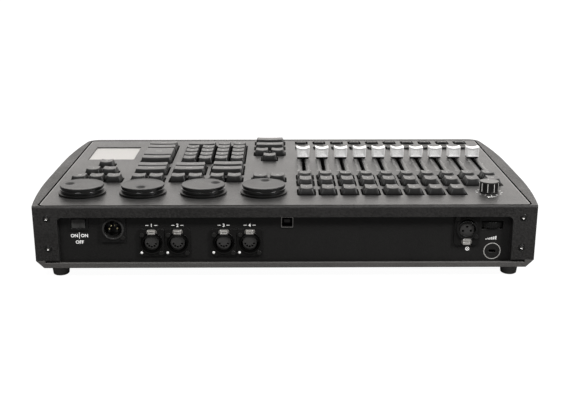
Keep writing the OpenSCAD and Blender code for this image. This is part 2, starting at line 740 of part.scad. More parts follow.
// The steel channel of each fader, open above, with a pocket for its carriage.
module fader_frames() color("silver") deck_frame() for (k = [0:fader_count - 1])
    at(-fader_x(k), slot_mid_v) difference() {
        box(-frame_w / 2, frame_w / 2, -frame_l / 2, frame_l / 2, board_top, -plate_t);
        box(-pocket_w / 2, pocket_w / 2, -pocket_l / 2, pocket_l / 2, board_top + frame_floor, 0);
    }

// A fader cap at its lowest place, on its lever, with the carriage in the channel.
module fader_cap(k) color("silver") deck_frame() at(-fader_x(k), fader_rest_v) {
    difference() {
        rotate([90, 0, 90]) translate([0, 0, -cap_w / 2]) linear_extrude(cap_w)
            polygon([[-cap_l / 2, cap_low], [cap_l / 2, cap_low], [cap_l / 2 - cap_lean, cap_h],
                [cap_lean - cap_l / 2, cap_h]]);
        translate([0, cap_l, cap_h + saddle_r - saddle_depth]) rotate([90, 0, 0])
            cylinder(r = saddle_r, h = 2 * cap_l, $fn = CURVE_FN);
    }
    box(-lever_t / 2, lever_t / 2, -lever_w / 2, lever_w / 2, carriage_z + 1, cap_low + 1);
    box(-carriage_w / 2, carriage_w / 2, -carriage_l / 2, carriage_l / 2,
        carriage_z, carriage_z + carriage_h);
}

// ---------------------------------------------------------------- wheels and knobs

// A jog wheel: hollow below, with a base ring, a waist and a finger dimple.
module encoder_wheel(i) color("dimgray") deck_frame() at(wheel_xs[i], front_row_v) difference() {
    union() {
        rotate_extrude($fn = 96) polygon([[0, wheel_web], [wheel_d / 2 - 4, wheel_web],
            [wheel_d / 2 - 4, wheel_low], [wheel_d / 2, wheel_low], [wheel_d / 2, wheel_low + 1.4],
            [wheel_top_d / 2 + 0.5, wheel_low + 2.6], [wheel_top_d / 2 + 0.5, wheel_h - 0.8],
            [wheel_top_d / 2 - 0.3, wheel_h], [0, wheel_h]]);
        translate([0, 0, shaft_low]) cylinder(d = shaft_d, h = wheel_web - shaft_low + 1);
    }
    rotate([0, 0, dimple_angles[i]]) translate([dimple_at, 0, wheel_h + dimple_r - dimple_depth])
        sphere(r = dimple_r);
}

module master_knob() color("dimgray") deck_frame() at(knob_x, front_row_v) {
    rotate_extrude($fn = 72) polygon([[0, wheel_web], [knob_d / 2 - 2.6, wheel_web],
        [knob_d / 2 - 2.6, wheel_low], [knob_d / 2 + 0.6, wheel_low], [knob_d / 2, knob_h - 0.7],
        [knob_d / 2 - 0.7, knob_h], [0, knob_h]]);
    translate([0, 0, shaft_low]) cylinder(d = shaft_d, h = wheel_web - shaft_low + 1);
}

// An encoder's housing and bush, with the running bore of its shaft.
module encoder_bodies() color("silver") deck_frame()
    for (x = concat(wheel_xs, [knob_x])) at(x, front_row_v) difference() {
        union() {
            translate([-encoder_w / 2, -encoder_w / 2, board_top])
                cube([encoder_w, encoder_w, -plate_t - board_top]);
            translate([0, 0, -plate_t - 1]) cylinder(d = bush_d, h = plate_t + 1 + bush_up);
        }
        translate([0, 0, shaft_low - 0.5]) cylinder(d = shaft_d + 2 * RUN, h = 30);
    }

// ---------------------------------------------------------------- rear panel

module rear_panel() color("dimgray") intersection() {
    panel_frame() difference() {
        union() {
            translate([0, 0, -panel_t]) linear_extrude(bay_d - wall + panel_t) bay_outline(panel_t);
            for (side = [-1, 1]) mirror([side > 0 ? 1 : 0, 0, 0])
                box(bay_w / 2, bay_w / 2 + ear_w, -ear_low, leg_screw_y[0] + 5,
                    bay_d - wall - panel_t, bay_d - wall);
        }
        linear_extrude(BIG / 10) bay_outline(0);
        for (side = [-1, 1], y = leg_screw_y)
            translate([side * leg_screw_x, y, 0]) cylinder(d = leg_screw_d + 0.1, h = bay_d);
        panel_holes();
    }
    box(-BIG / 2, BIG / 2, -BIG / 2, BIG / 2, floor_z, BIG);
}

module panel_holes() translate([0, 0, -2 * panel_t]) linear_extrude(4 * panel_t) {
    for (p = round_sockets) translate(p) {
        circle(d = barrel_d + 2 * FIT);
        for (s = [-1, 1]) translate([s * screw_off, -s * screw_off]) circle(d = 2.6);
    }
    for (p = dmx_places) {
        translate([p[0], p[1] + tab_off]) square([tab_w + 1, tab_hh + 1], center = true);
        translate(p + light_off) circle(d = light_d + 2 * FIT);
    }
    translate([lamp_at[0], lamp_at[1] - lamp_tab_off]) square([tab_w + 1, tab_hh + 3], center = true);
    translate(rocker_at) square([frame_in_w + 2 * FIT, frame_in_h + 2 * FIT], center = true);
    translate(usb_at) square([usb_w + 2 * FIT, usb_hh + 2 * FIT], center = true);
    translate(dimmer_at) square([22, 8.6], center = true);
    translate(lock_at) square([7, 3], center = true);
}

// A round connector: flange, barrel and mouth. low and high are its flange's
// reach below and above the mouth's centre; pins are radii and angles.
module round_socket(at_xy, low, high, contacts, male) translate([at_xy[0], at_xy[1], 0]) {
    floor_level = flange_t - mouth_depth;
    difference() {
        union() {
            translate([0, (high - low) / 2, 0]) plate_form(flange_w, low + high, 2.5, 0, flange_t);
            cylinder(d = mouth_d + 3.4, h = flange_t + 1);
            translate([0, 0, io_board_z]) cylinder(d = barrel_d, h = 1 - io_board_z);
        }
        translate([0, 0, floor_level]) cylinder(d = mouth_d, h = mouth_depth + 2);
        for (s = [-1, 1])
            translate([s * screw_off, -s * screw_off, -1]) cylinder(d = 2.6, h = 2 + flange_t);
        children();
    }
    if (male)
        for (c = contacts) translate([c[0], c[1], floor_level - 1]) cylinder(r = 1.2, h = mouth_depth);
    else difference() {
        translate([0, 0, floor_level - 1]) cylinder(d = mouth_d - 3.6, h = mouth_depth);
        for (c = contacts) translate([c[0], c[1], floor_level + 1]) cylinder(r = 1.3, h = mouth_depth);
    }
}

// Contacts evenly spread on an arc of the mouth, around its lower side.
function arc_contacts(n, r, span, first) =
    [for (i = [0:n - 1]) [r * cos(first + i * span / (n - 1)), r * sin(first + i * span / (n - 1))]];

module power_inlet() color("black") panel_frame()
    round_socket(power_at, flange_power, flange_short,
        arc_contacts(4, contact_r, power_arc[0], power_arc[1]), true);

module dmx_sockets() color("black") panel_frame() for (p = dmx_places)
    round_socket(p, flange_short, flange_dmx,
        arc_contacts(5, contact_r, dmx_arc[0], dmx_arc[1]), false) {
        translate([0, tab_off, 0]) plate_form(tab_w + 0.4, tab_hh + 0.4, 1, -tab_room, flange_t + 2);
        translate([light_off[0], light_off[1], -1]) cylinder(d = light_d + 0.3, h = flange_t + 2);
    }

module lamp_socket() color("black") panel_frame()
    round_socket(lamp_at, flange_lamp, flange_short,
        arc_contacts(3, lamp_contact_r, lamp_arc[0], lamp_arc[1]), false)
        translate([0, -lamp_tab_off, 0])
            plate_form(tab_w + 0.4, tab_hh + 2.4, 1, -tab_room, flange_t + 2);

module latch(at_xy, off, h) color("silver") panel_frame() translate([at_xy[0], at_xy[1] + off, 0])
    plate_form(tab_w, h, 0.8, -tab_deep, flange_t + tab_proud);

module dmx_latch(i) latch(dmx_places[i], tab_off, tab_hh);

module lamp_latch() latch(lamp_at, -lamp_tab_off, tab_hh + 2);

module status_lights() color("white") panel_frame() for (p = dmx_places)
    translate([p[0] + light_off[0], p[1] + light_off[1], io_board_z])
        cylinder(d = light_d, h = flange_t + 0.3 - io_board_z);

module usb_port() color("silver") panel_frame() translate([usb_at[0], usb_at[1], 0]) {
    difference() {
        box(-usb_w / 2, usb_w / 2, -usb_hh / 2, usb_hh / 2, io_board_z, 0.6);
        box(0.8 - usb_w / 2, usb_w / 2 - 0.8, 0.8 - usb_hh / 2, usb_hh / 2 - 0.8, -14, 2);
    }
    box(-2.8, 2.8, -1.6, 1.6, -14.5, -1.5);
}

module switch_frame() color("black") panel_frame() translate([rocker_at[0], rocker_at[1], 0])
    difference() {
        union() {
            plate_form(frame_in_w + 2.9, frame_in_h + 2.4, 1, 0, 1.4);
            box(-frame_in_w / 2, frame_in_w / 2, -frame_in_h / 2, frame_in_h / 2, -16, 1);
        }
        box(-rocker_w / 2 - 0.8, rocker_w / 2 + 0.8, -rocker_hh / 2 - FIT, rocker_hh / 2 + FIT, -8, 3);
        translate([0, 0, rocker_pivot_z]) rotate([90, 0, 0])
            cylinder(d = rocker_pin_d + 2 * RUN, h = frame_in_h - 1, center = true);
    }

module rocker() color("black") panel_frame() translate([rocker_at[0], rocker_at[1], 0]) {
    rotate([90, 0, 0]) linear_extrude(rocker_hh, center = true)
        polygon([[-rocker_w / 2, 2.6], [0, 1.2], [rocker_w / 2, 2.6], [rocker_w / 2 - 0.8, -4],
            [0.8 - rocker_w / 2, -4]]);
    translate([0, 0, rocker_pivot_z]) rotate([90, 0, 0])
        cylinder(d = rocker_pin_d, h = frame_in_h - 1.4, center = true);
}

// The thumbwheel runs between two cheeks behind the panel.
module dimmer_body() color("silver") panel_frame() translate([dimmer_at[0], dimmer_at[1], 0])
    difference() {
        box(-8, 8, -dimmer_cheek, dimmer_cheek, dimmer_back, -panel_t);
        box(-9, 9, -dimmer_t / 2 - FIT, dimmer_t / 2 + FIT, dimmer_back + 1.5, 1);
        translate([0, 0, dimmer_axis_z]) rotate([90, 0, 0])
            cylinder(d = 4 + 2 * RUN, h = 2 * dimmer_cheek + 2, center = true);
    }

module dimmer_wheel() color("black") panel_frame()
    translate([dimmer_at[0], dimmer_at[1], dimmer_axis_z]) rotate([90, 0, 0]) {
        cylinder(r = dimmer_r, h = dimmer_t, center = true, $fn = 96);
        cylinder(d = 4, h = 2 * dimmer_cheek, center = true);
    }

module lock_plate() color("gray") panel_frame() translate([lock_at[0], lock_at[1], 0]) difference() {
    plate_form(20, 12, 1, -panel_t - 2, -panel_t);
    box(-3.5, 3.5, -1.5, 1.5, -panel_t - 3, 0);
}

module panel_screws() color("silver") panel_frame() {
    for (p = round_sockets, s = [-1, 1])
        translate([p[0] + s * screw_off, p[1] - s * screw_off, flange_t]) mirror([0, 0, 1])
            screw(4.6, 1.2, 2.5, flange_t + panel_t + 2);
}

module casing_screws() color("silver") panel_frame()
    for (side = [-1, 1], y = leg_screw_y) translate([side * leg_screw_x, y, bay_d - leg_head_t])
        mirror([0, 0, 1]) screw(leg_head_d, leg_head_t, leg_screw_d, wall + panel_t + 2);

// ---------------------------------------------------------------- boards

module board(x0, x1)
    deck_frame() box(x0, x1, -board_front_v, -board_rear_v, board_top - board_t, board_top);

module key_board() color("darkgreen") difference() {
    board(key_board_x0, board_half_w);
    board_holes();
}

module fader_board() color("darkgreen") difference() {
    board(-board_half_w, fader_board_x1);
    board_holes();
}

module board_holes() deck_frame() for (x = pillar_xs, v = pillar_vs)
    at(x, v, board_top - 2 * board_t) cylinder(d = 3, h = 3 * board_t);

module io_board() color("darkgreen") panel_frame()
    box(io_x0, io_x1, io_y0, io_y1, io_board_z - board_t, io_board_z);

module main_board() color("darkgreen") difference() {
    union() {
        box(main_x0, main_x1, main_y0, main_y1, main_z, main_z + board_t);
        for (c = main_chips) translate([c[0], c[1], main_z + board_t - EPS]) cube([c[2], c[2], chip_h]);
    }
    for (x = main_hole_xs, y = main_hole_ys) translate([x, y, main_z - 1]) cylinder(d = 3, h = 4);
}

module board_pillars() color("silver") {
    deck_frame() for (x = pillar_xs, v = pillar_vs) at(x, v, board_top)
        cylinder(d = 5, h = -plate_t - board_top);
    for (x = main_hole_xs, y = main_hole_ys)
        translate([x, y, floor_z]) cylinder(d = 5, h = main_z - floor_z);
}

module board_screws() color("silver") {
    deck_frame() for (x = pillar_xs, v = pillar_vs) at(x, v, board_top - board_t)
        screw(5, 1.6, 2.5, board_t - EPS);
    for (x = main_hole_xs, y = main_hole_ys) translate([x, y, main_z + board_t]) mirror([0, 0, 1])
        screw(5, 1.6, 2.5, board_t - EPS);
}

// A round lead between two points.
module lead(a, b) {
    run = b - a;
    translate(a) rotate([0, acos(run[2] / norm(run)), atan2(run[1], run[0])])
        cylinder(d = lead_d, h = norm(run));
}

// Flat cables from the control boards and leads from the inlet and the switch, with their plugs.
module inner_cables() color("lightgray") {
    plug_z = board_top - board_t;
    for (x = ribbon_xs) {
        v = (top_rear_y - ribbon_y) / cos(tilt);
        mid = deck_point(x, v, plug_z - plug_h / 2);
        deck_frame() at(x, v) box(-3, 3, -ribbon_plug_l / 2, ribbon_plug_l / 2, plug_z - plug_h, plug_z);
        box(x - 0.4, x + 0.4, mid[1] + 4 - ribbon_plug_l / 2, mid[1] + ribbon_plug_l / 2 - 4,
            main_z + board_t + 1, mid[2]);
        box(x - 3, x + 3, mid[1] - ribbon_plug_l / 2, mid[1] + ribbon_plug_l / 2,
            main_z + board_t, main_z + board_t + plug_h);
    }
    for (s = lead_starts) {
        v = bay_d - io_board_z;
        land = [min(s[0], main_x1 - lead_plug_w), main_y1 - 2 * lead_plug_w, main_z + board_t];
        deck_frame() at(s[0], v, s[1])
            box(-lead_plug_w / 2, lead_plug_w / 2, -plug_h, 0, -lead_plug_w / 2, lead_plug_w / 2);
        lead(deck_point(s[0], v + plug_h / 2, s[1]), land + [0, 0, plug_h / 2]);
        translate(land) box(-lead_plug_w / 2, lead_plug_w / 2, -lead_plug_w / 2, lead_plug_w / 2, 0, plug_h);
    }
}

casing();
control_plate();
base_tray();
rear_panel();
feet();
bottom_screws();
casing_screws();
plate_nuts();
panel_screws();
pad_inlay();
power_inlet();
dmx_sockets();
dmx_latch(0);  // dmx_latch_1
dmx_latch(1);  // dmx_latch_2
dmx_latch(2);  // dmx_latch_3
dmx_latch(3);  // dmx_latch_4
usb_port();
lamp_socket();
lamp_latch();
status_lights();
lock_plate();
switch_frame();
rocker();
dimmer_body();
dimmer_wheel();
io_board();
key_board();
fader_board();
main_board();
board_pillars();
board_screws();
inner_cables();
key_switches();
fader_frames();
encoder_bodies();
encoder_wheel(0);  // encoder_wheel_1
encoder_wheel(1);  // encoder_wheel_2
encoder_wheel(2);  // encoder_wheel_3
encoder_wheel(3);  // encoder_wheel_4
master_knob();
fader_cap(0);  // fader_cap_1
fader_cap(1);  // fader_cap_2
fader_cap(2);  // fader_cap_3
fader_cap(3);  // fader_cap_4
fader_cap(4);  // fader_cap_5
fader_cap(5);  // fader_cap_6
fader_cap(6);  // fader_cap_7
fader_cap(7);  // fader_cap_8
fader_cap(8);  // fader_cap_9
fader_cap(9);  // fader_cap_10
exec_row(0);  // executor_keys_a
exec_row(1);  // executor_keys_b
exec_row(2);  // executor_keys_c
flash_row(flash_vs[0]);  // flash_keys_rear
flash_row(flash_vs[1]);  // flash_keys_front
pyramid_keys();
wide_keys();
number_keys();
menu_keys();
centre_keys();
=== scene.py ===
"""A lighting control desk, seen from behind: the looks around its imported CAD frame.

Units are metres in the row frame; the makers below work in millimetres of the deck
frame (x across, y up the slope to the rear edge, z out of the deck) or of the panel
frame (x to the right seen from behind, y up the panel, z out of its face).
"""

from __future__ import annotations

import sys

import json
import logging
import math
from collections.abc import Callable
from dataclasses import dataclass, field
from enum import Enum

import bmesh
import bpy
import numpy as np
from mathutils import Matrix, Vector
from mathutils.bvhtree import BVHTree
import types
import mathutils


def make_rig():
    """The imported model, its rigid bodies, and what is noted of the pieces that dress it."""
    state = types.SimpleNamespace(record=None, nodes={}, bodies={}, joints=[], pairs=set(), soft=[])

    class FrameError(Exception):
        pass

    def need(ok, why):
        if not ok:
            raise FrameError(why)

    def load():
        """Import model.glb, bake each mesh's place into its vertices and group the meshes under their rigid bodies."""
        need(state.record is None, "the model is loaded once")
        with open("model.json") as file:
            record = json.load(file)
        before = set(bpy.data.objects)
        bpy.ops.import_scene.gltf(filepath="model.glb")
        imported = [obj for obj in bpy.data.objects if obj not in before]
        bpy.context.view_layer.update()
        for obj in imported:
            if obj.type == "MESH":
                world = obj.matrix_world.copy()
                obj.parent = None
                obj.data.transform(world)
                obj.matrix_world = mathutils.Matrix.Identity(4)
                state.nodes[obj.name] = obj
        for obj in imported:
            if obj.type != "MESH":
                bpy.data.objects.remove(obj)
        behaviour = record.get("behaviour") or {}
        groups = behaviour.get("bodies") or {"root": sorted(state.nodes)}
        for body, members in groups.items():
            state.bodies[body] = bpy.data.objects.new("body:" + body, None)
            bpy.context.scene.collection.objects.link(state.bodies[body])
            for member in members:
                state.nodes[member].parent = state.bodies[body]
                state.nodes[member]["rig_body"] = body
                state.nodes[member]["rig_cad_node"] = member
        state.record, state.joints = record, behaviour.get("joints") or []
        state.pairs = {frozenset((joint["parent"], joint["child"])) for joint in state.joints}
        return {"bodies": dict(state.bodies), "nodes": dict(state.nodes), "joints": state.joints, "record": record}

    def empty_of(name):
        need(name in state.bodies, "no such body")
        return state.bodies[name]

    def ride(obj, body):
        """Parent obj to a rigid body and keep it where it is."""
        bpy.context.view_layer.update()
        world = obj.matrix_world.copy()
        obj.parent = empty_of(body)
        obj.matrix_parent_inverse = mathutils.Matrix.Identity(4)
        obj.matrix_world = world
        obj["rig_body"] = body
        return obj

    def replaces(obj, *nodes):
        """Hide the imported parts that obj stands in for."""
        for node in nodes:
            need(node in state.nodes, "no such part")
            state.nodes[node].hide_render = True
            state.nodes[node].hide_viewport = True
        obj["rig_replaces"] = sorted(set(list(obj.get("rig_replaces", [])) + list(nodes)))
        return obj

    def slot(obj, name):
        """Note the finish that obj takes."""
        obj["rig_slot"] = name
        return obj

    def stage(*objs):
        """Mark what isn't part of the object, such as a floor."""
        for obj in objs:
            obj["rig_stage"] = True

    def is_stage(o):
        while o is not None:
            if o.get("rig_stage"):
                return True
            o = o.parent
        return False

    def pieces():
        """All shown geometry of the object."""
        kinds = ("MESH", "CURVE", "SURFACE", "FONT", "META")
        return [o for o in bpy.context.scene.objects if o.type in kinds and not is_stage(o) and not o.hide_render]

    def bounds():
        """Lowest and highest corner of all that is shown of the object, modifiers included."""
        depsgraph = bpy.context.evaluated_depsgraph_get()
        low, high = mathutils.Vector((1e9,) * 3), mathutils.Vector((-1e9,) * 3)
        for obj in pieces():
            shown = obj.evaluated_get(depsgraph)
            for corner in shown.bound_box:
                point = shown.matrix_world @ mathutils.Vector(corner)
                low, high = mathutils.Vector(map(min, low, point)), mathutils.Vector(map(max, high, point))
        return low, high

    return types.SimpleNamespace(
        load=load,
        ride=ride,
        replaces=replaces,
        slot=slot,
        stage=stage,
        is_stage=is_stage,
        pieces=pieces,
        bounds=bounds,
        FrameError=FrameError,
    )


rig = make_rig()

LOG = logging.getLogger("desk")
MM = 0.001
NEAR, FLAT, SKIN = 0.01, 0.02, 0.05  # millimetres within which two heights are one
Point = tuple[float, float, float]
Pairs = tuple[tuple[float, float], ...]


# ------------------------------------------------------------------ frames

@dataclass(frozen=True)
class DeskFrames:
    """The desk's two working frames, as the CAD model sets them."""

    tilt: float = math.radians(4)
    top_rear_y: float = 154.316
    top_rear_z: float = 77.439
    bay_depth: float = 7.5

    def deck(self) -> Matrix:
        """Millimetres of the deck frame to metres of the row frame."""
        place = Matrix.Translation((0, self.top_rear_y, self.top_rear_z))
        return Matrix.Scale(MM, 4) @ place @ Matrix.Rotation(self.tilt, 4, "X")

    def panel(self) -> Matrix:
        """Millimetres of the panel frame to metres of the row frame."""
        turn = Matrix.Rotation(math.pi, 4, "Z") @ Matrix.Rotation(math.pi / 2, 4, "X")
        return self.deck() @ Matrix.Translation((0, -self.bay_depth, 0)) @ turn

    def row(self) -> Matrix:
        """Millimetres to metres of the row frame, with no turn."""
        return Matrix.Scale(MM, 4)


FRAMES = DeskFrames()


# ------------------------------------------------------------------ image points

FRAME_W, FRAME_H = 570, 400

IMAGE_EDGES = {"left": 31.6, "right": 538.9, "top": 134.6, "bottom": 275.6}
IMAGE_POINTS = {
    "far_corner_left": (93.5, 141.0),
    "far_corner_right": (472.5, 140.2),
    "wheel_outer": (82.8, 184.4),
    "wheel_inner": (263.0, 183.5),
    "knob_top": (489.5, 181.3),
    "pad_middle": (116.0, 153.2),
    "power_mouth": (113.1, 228.0),
    "dmx_1_mouth": (152.0, 243.3),
    "dmx_4_mouth": (249.8, 243.2),
    "lamp_mouth": (466.9, 227.1),
    "lock_slot": (491.9, 250.9),
    "usb_mouth": (287.3, 220.8),
    "switch_words": (79.4, 235.6),
    "figure_1": (152.4, 225.4),
    "dimmer_sign": (491.0, 237.6),
    "lamp_sign": (467.2, 248.6),
}


# ------------------------------------------------------------------ node trees

class Graph:
    """A small helper that adds and joins the nodes of one tree."""

    def __init__(self, tree: bpy.types.NodeTree) -> None:
        """Starts an empty tree."""
        self.tree = tree
        tree.nodes.clear()

    def add(self, kind: str, **settings: object) -> bpy.types.Node:
        """Adds a node and sets its properties or, by name, its input sockets.

        Args:
            kind: The node's Blender type.
            settings: Property values; a key that is no property is an input's name,
                with underscores for spaces.

        Returns:
            The new node.
        """
        made = self.tree.nodes.new(kind)
        for key, value in settings.items():
            if hasattr(made, key) and not key[0].isupper():
                setattr(made, key, value)
            else:
                self.feed(made, key.replace("_", " "), value)
        return made

    def feed(self, node: bpy.types.Node, name: str | int, value: object) -> None:
        """Sets an input to a constant or links it to another node's output.

        Args:
            node: The node.
            name: The input's name or number.
            value: The constant or the other node's output.
        """
        socket = node.inputs[name]
        if isinstance(value, bpy.types.NodeSocket):
            self.tree.links.new(value, socket)
        else:
            socket.default_value = value

    def math(self, operation: str, *values: object) -> bpy.types.NodeSocket:
        """One Math node over two or three values.

        Args:
            operation: The Math node's operation.
            values: Its inputs in order.

        Returns:
            The result's socket.
        """
        made = self.add("ShaderNodeMath", operation=operation)
        for i, value in enumerate(values):
            self.feed(made, i, value)
        return made.outputs[0]

    def mix(self, factor: object, a: object, b: object) -> bpy.types.NodeSocket:
        """A colour between a and b.

        Args:
            factor: 0 gives a, 1 gives b.
            a: The first colour.
            b: The second colour.

        Returns:
            The mixed colour's socket.
        """
        made = self.add("ShaderNodeMix", data_type="RGBA")
        for slot, value in ((0, factor), (6, a), (7, b)):
            self.feed(made, slot, value)
        return made.outputs[2]

    def spread(self, value: object, low: float, high: float,
               to_low: float = 0.0, to_high: float = 1.0) -> bpy.types.NodeSocket:
        """A value mapped from one range to another, clamped.

        Args:
            value: The value's socket.
            low: Start of its range.
            high: End of its range.
            to_low: Result at the start.
            to_high: Result at the end.

        Returns:
            The mapped value's socket.
        """
        made = self.add("ShaderNodeMapRange")
        for i, item in enumerate((value, low, high, to_low, to_high)):
            self.feed(made, i, item)
        return made.outputs[0]


class Effects:
    """Node groups shared by the finishes: grain, soft wear that doubles as a painted edge highlight, and settled dust.
    """

    fine_scale = 0.7
    lump_share = 0.6
    patch_scale = 14.0
    patch_depth = 0.35
    tone_window = (0.35, 0.65)
    ridge_window = (0.02, 0.3)
    wear_and_highlight_scale = 260.0
    wear_and_highlight_window = (0.3, 0.6)
    wear_and_highlight_least = 0.35
    upward = (0.4, 1.0)
    dust_scale = 38.0
    dust_window = (0.38, 0.7)

    def __init__(self) -> None:
        """Builds each group once."""
        self.grain = self._grain()
        self.wear_and_highlight = self._wear_and_highlight()
        self.dust = self._dust()

    @staticmethod
    def _group(name: str, inputs: dict[str, float], outputs: tuple[str, ...]) -> tuple:
        """An empty node group with float sockets.

        Args:
            name: The group's name.
            inputs: Each input's name and usual value.
            outputs: The outputs' names.

        Returns:
            The group, its graph, its input node and its output node.
        """
        group = bpy.data.node_groups.new(name, "ShaderNodeTree")
        graph = Graph(group)
        for label, value in inputs.items():
            made = group.interface.new_socket(name=label, in_out="INPUT",
                                              socket_type="NodeSocketFloat")
            made.default_value = value
        for label in outputs:
            group.interface.new_socket(name=label, in_out="OUTPUT",
                                       socket_type="NodeSocketFloat")
        return group, graph, graph.add("NodeGroupInput"), graph.add("NodeGroupOutput")

    def _grain(self) -> bpy.types.NodeTree:
        """The orange-peel grain of powder coat or of a spark-eroded mould.

        Returns:
            The group.
        """
        group, graph, given, put = self._group(
            "surface_grain", {"Size": 1.0, "Speckle": 0.5}, ("Height", "Tone"))
        where = graph.add("ShaderNodeTexCoord").outputs["Object"]
        per_metre = graph.math("DIVIDE", 1000.0, given.outputs["Size"])
        cells = graph.add("ShaderNodeTexVoronoi", Vector=where, Scale=per_metre,
                          feature="SMOOTH_F1")
        fine = graph.add("ShaderNodeTexNoise", Vector=where, Detail=3.0, Roughness=0.6,
                         Scale=graph.math("MULTIPLY", per_metre, self.fine_scale))
        broad = graph.add("ShaderNodeTexNoise", Vector=where, Detail=2.0,
                          Scale=self.patch_scale)
        lumps = graph.math("ADD", graph.math("MULTIPLY", cells.outputs[0], self.lump_share),
                           fine.outputs[0])
        speck = graph.spread(fine.outputs[0], *self.tone_window, -1.0, 1.0)
        patch = graph.spread(broad.outputs[0], *self.tone_window,
                             -self.patch_depth, self.patch_depth)
        tone = graph.math("MULTIPLY", graph.math("ADD", speck, patch),
                          given.outputs["Speckle"])
        graph.feed(put, "Height", lumps)
        graph.feed(put, "Tone", tone)
        return group

    def _wear_and_highlight(self) -> bpy.types.NodeTree:
        """The mask of the edges that are lightened, both where hands and cases rub and as a painted edge highlight.

        Returns:
            The group.
        """
        group, graph, given, put = self._group(
            "edge_wear_and_painted_highlight", {"Radius": 0.0008, "Amount": 0.5}, ("Mask",))
        soft = graph.add("ShaderNodeBevel", samples=4, Radius=given.outputs["Radius"])
        flat = graph.add("ShaderNodeNewGeometry")
        meet = graph.add("ShaderNodeVectorMath", operation="DOT_PRODUCT")
        graph.feed(meet, 0, soft.outputs[0])
        graph.feed(meet, 1, flat.outputs["Normal"])
        ridge = graph.spread(graph.math("SUBTRACT", 1.0, meet.outputs["Value"]),
                             *self.ridge_window)
        where = graph.add("ShaderNodeTexCoord").outputs["Object"]
        broken = graph.add("ShaderNodeTexNoise", Vector=where, Scale=self.wear_and_highlight_scale,
                           Detail=4.0)
        gaps = graph.spread(broken.outputs[0], *self.wear_and_highlight_window, self.wear_and_highlight_least, 1.0)
        graph.feed(put, "Mask", graph.math(
            "MULTIPLY", graph.math("MULTIPLY", ridge, gaps), given.outputs["Amount"]))
        return group

    def _dust(self) -> bpy.types.NodeTree:
        """The mask of the thin dust on surfaces facing up.

        Returns:
            The group.
        """
        group, graph, given, put = self._group("settled_dust", {"Amount": 0.2}, ("Mask",))
        facing = graph.add("ShaderNodeSeparateXYZ")
        graph.feed(facing, 0, graph.add("ShaderNodeNewGeometry").outputs["Normal"])
        up = graph.spread(facing.outputs["Z"], *self.upward)
        where = graph.add("ShaderNodeTexCoord").outputs["Object"]
        cloud = graph.add("ShaderNodeTexNoise", Vector=where, Scale=self.dust_scale,
                          Detail=5.0, Roughness=0.65)
        drift = graph.spread(cloud.outputs[0], *self.dust_window)
        graph.feed(put, "Mask", graph.math(
            "MULTIPLY", graph.math("MULTIPLY", up, drift), given.outputs["Amount"]))
        return group


# ------------------------------------------------------------------ finishes

@dataclass(frozen=True)
class Finish:
    """One finish of the desk: its colour, gloss, grain, edge wear with painted edge highlight, and dust.

    Grain is the size of its cells in millimetres and relief the strength of its bump.
    Speckle varies the colour between darker and paler. Glow is a faint light of its own
    that stands for the fill light on small bright parts. The wear-and-highlight radius is in metres.
    """

    name: str
    colour: Point
    roughness: float
    metallic: float = 0.0
    specular: float = 0.5
    coat: float = 0.0
    coat_roughness: float = 0.1
    grain: float = 0.5
    speckle: float = 0.3
    relief: float = 0.1
    wear_and_highlight: float = 0.0
    wear_and_highlight_radius: float = 0.0006
    worn_and_lit: Point = (0.25, 0.245, 0.24)
    dust: float = 0.05
    dusty: Point = (0.42, 0.41, 0.39)
    glow: float = 0.0
    darker: float = 0.55
    paler: float = 1.6
    lift: float = 0.002
    tone_reach: float = 0.7
    tone_share: float = 0.5
    gloss_spread: float = 0.12
    bump_height: float = 0.0004

    def make(self, effects: Effects) -> bpy.types.Material:
        """Builds the material.

        Args:
            effects: The shared node groups.

        Returns:
            The finished material.
        """
        made = bpy.data.materials.new(self.name)
        made.use_nodes = True
        graph = Graph(made.node_tree)
        shader = graph.add("ShaderNodeBsdfPrincipled", Metallic=self.metallic)
        for label, value in (("Specular IOR Level", self.specular),
                             ("Coat Weight", self.coat),
                             ("Coat Roughness", self.coat_roughness)):
            graph.feed(shader, label, value)
        base = (*self.colour, 1.0)
        grain = graph.add("ShaderNodeGroup", node_tree=effects.grain,
                          Size=self.grain, Speckle=self.speckle)
        tone = grain.outputs["Tone"]
        dark = tuple(c * self.darker for c in self.colour) + (1.0,)
        pale = tuple(min(1.0, c * self.paler + self.lift) for c in self.colour) + (1.0,)
        body = graph.mix(graph.spread(tone, -self.tone_reach, self.tone_reach), dark, pale)
        body = graph.mix(self.tone_share, base, body)
        dust = graph.add("ShaderNodeGroup", node_tree=effects.dust, Amount=self.dust)
        body = graph.mix(dust.outputs["Mask"], body, (*self.dusty, 1.0))
        uneven = graph.math("MULTIPLY", tone, self.gloss_spread)
        rough = graph.math("ADD", uneven, self.roughness)
        # Edges are lightened towards the worn colour: part real rubbed wear, part painted edge highlight.
        if self.wear_and_highlight:
            wear_and_highlight = graph.add("ShaderNodeGroup", node_tree=effects.wear_and_highlight,
                             Radius=self.wear_and_highlight_radius, Amount=self.wear_and_highlight)
            body = graph.mix(wear_and_highlight.outputs["Mask"], body, (*self.worn_and_lit, 1.0))
        graph.feed(shader, "Base Color", body)
        graph.feed(shader, "Roughness", rough)
        bump = graph.add("ShaderNodeBump", Strength=self.relief, Distance=self.bump_height,
                         Height=grain.outputs["Height"])
        if self.wear_and_highlight:
            bevel = graph.add("ShaderNodeBevel", samples=4, Radius=self.wear_and_highlight_radius)
            graph.feed(bump, "Normal", bevel.outputs[0])
        graph.feed(shader, "Normal", bump.outputs[0])
        if self.glow:
            graph.feed(shader, "Emission Color", body)
            graph.feed(shader, "Emission Strength", self.glow)
        put = graph.add("ShaderNodeOutputMaterial")
        graph.feed(put, "Surface", shader.outputs[0])
        return made


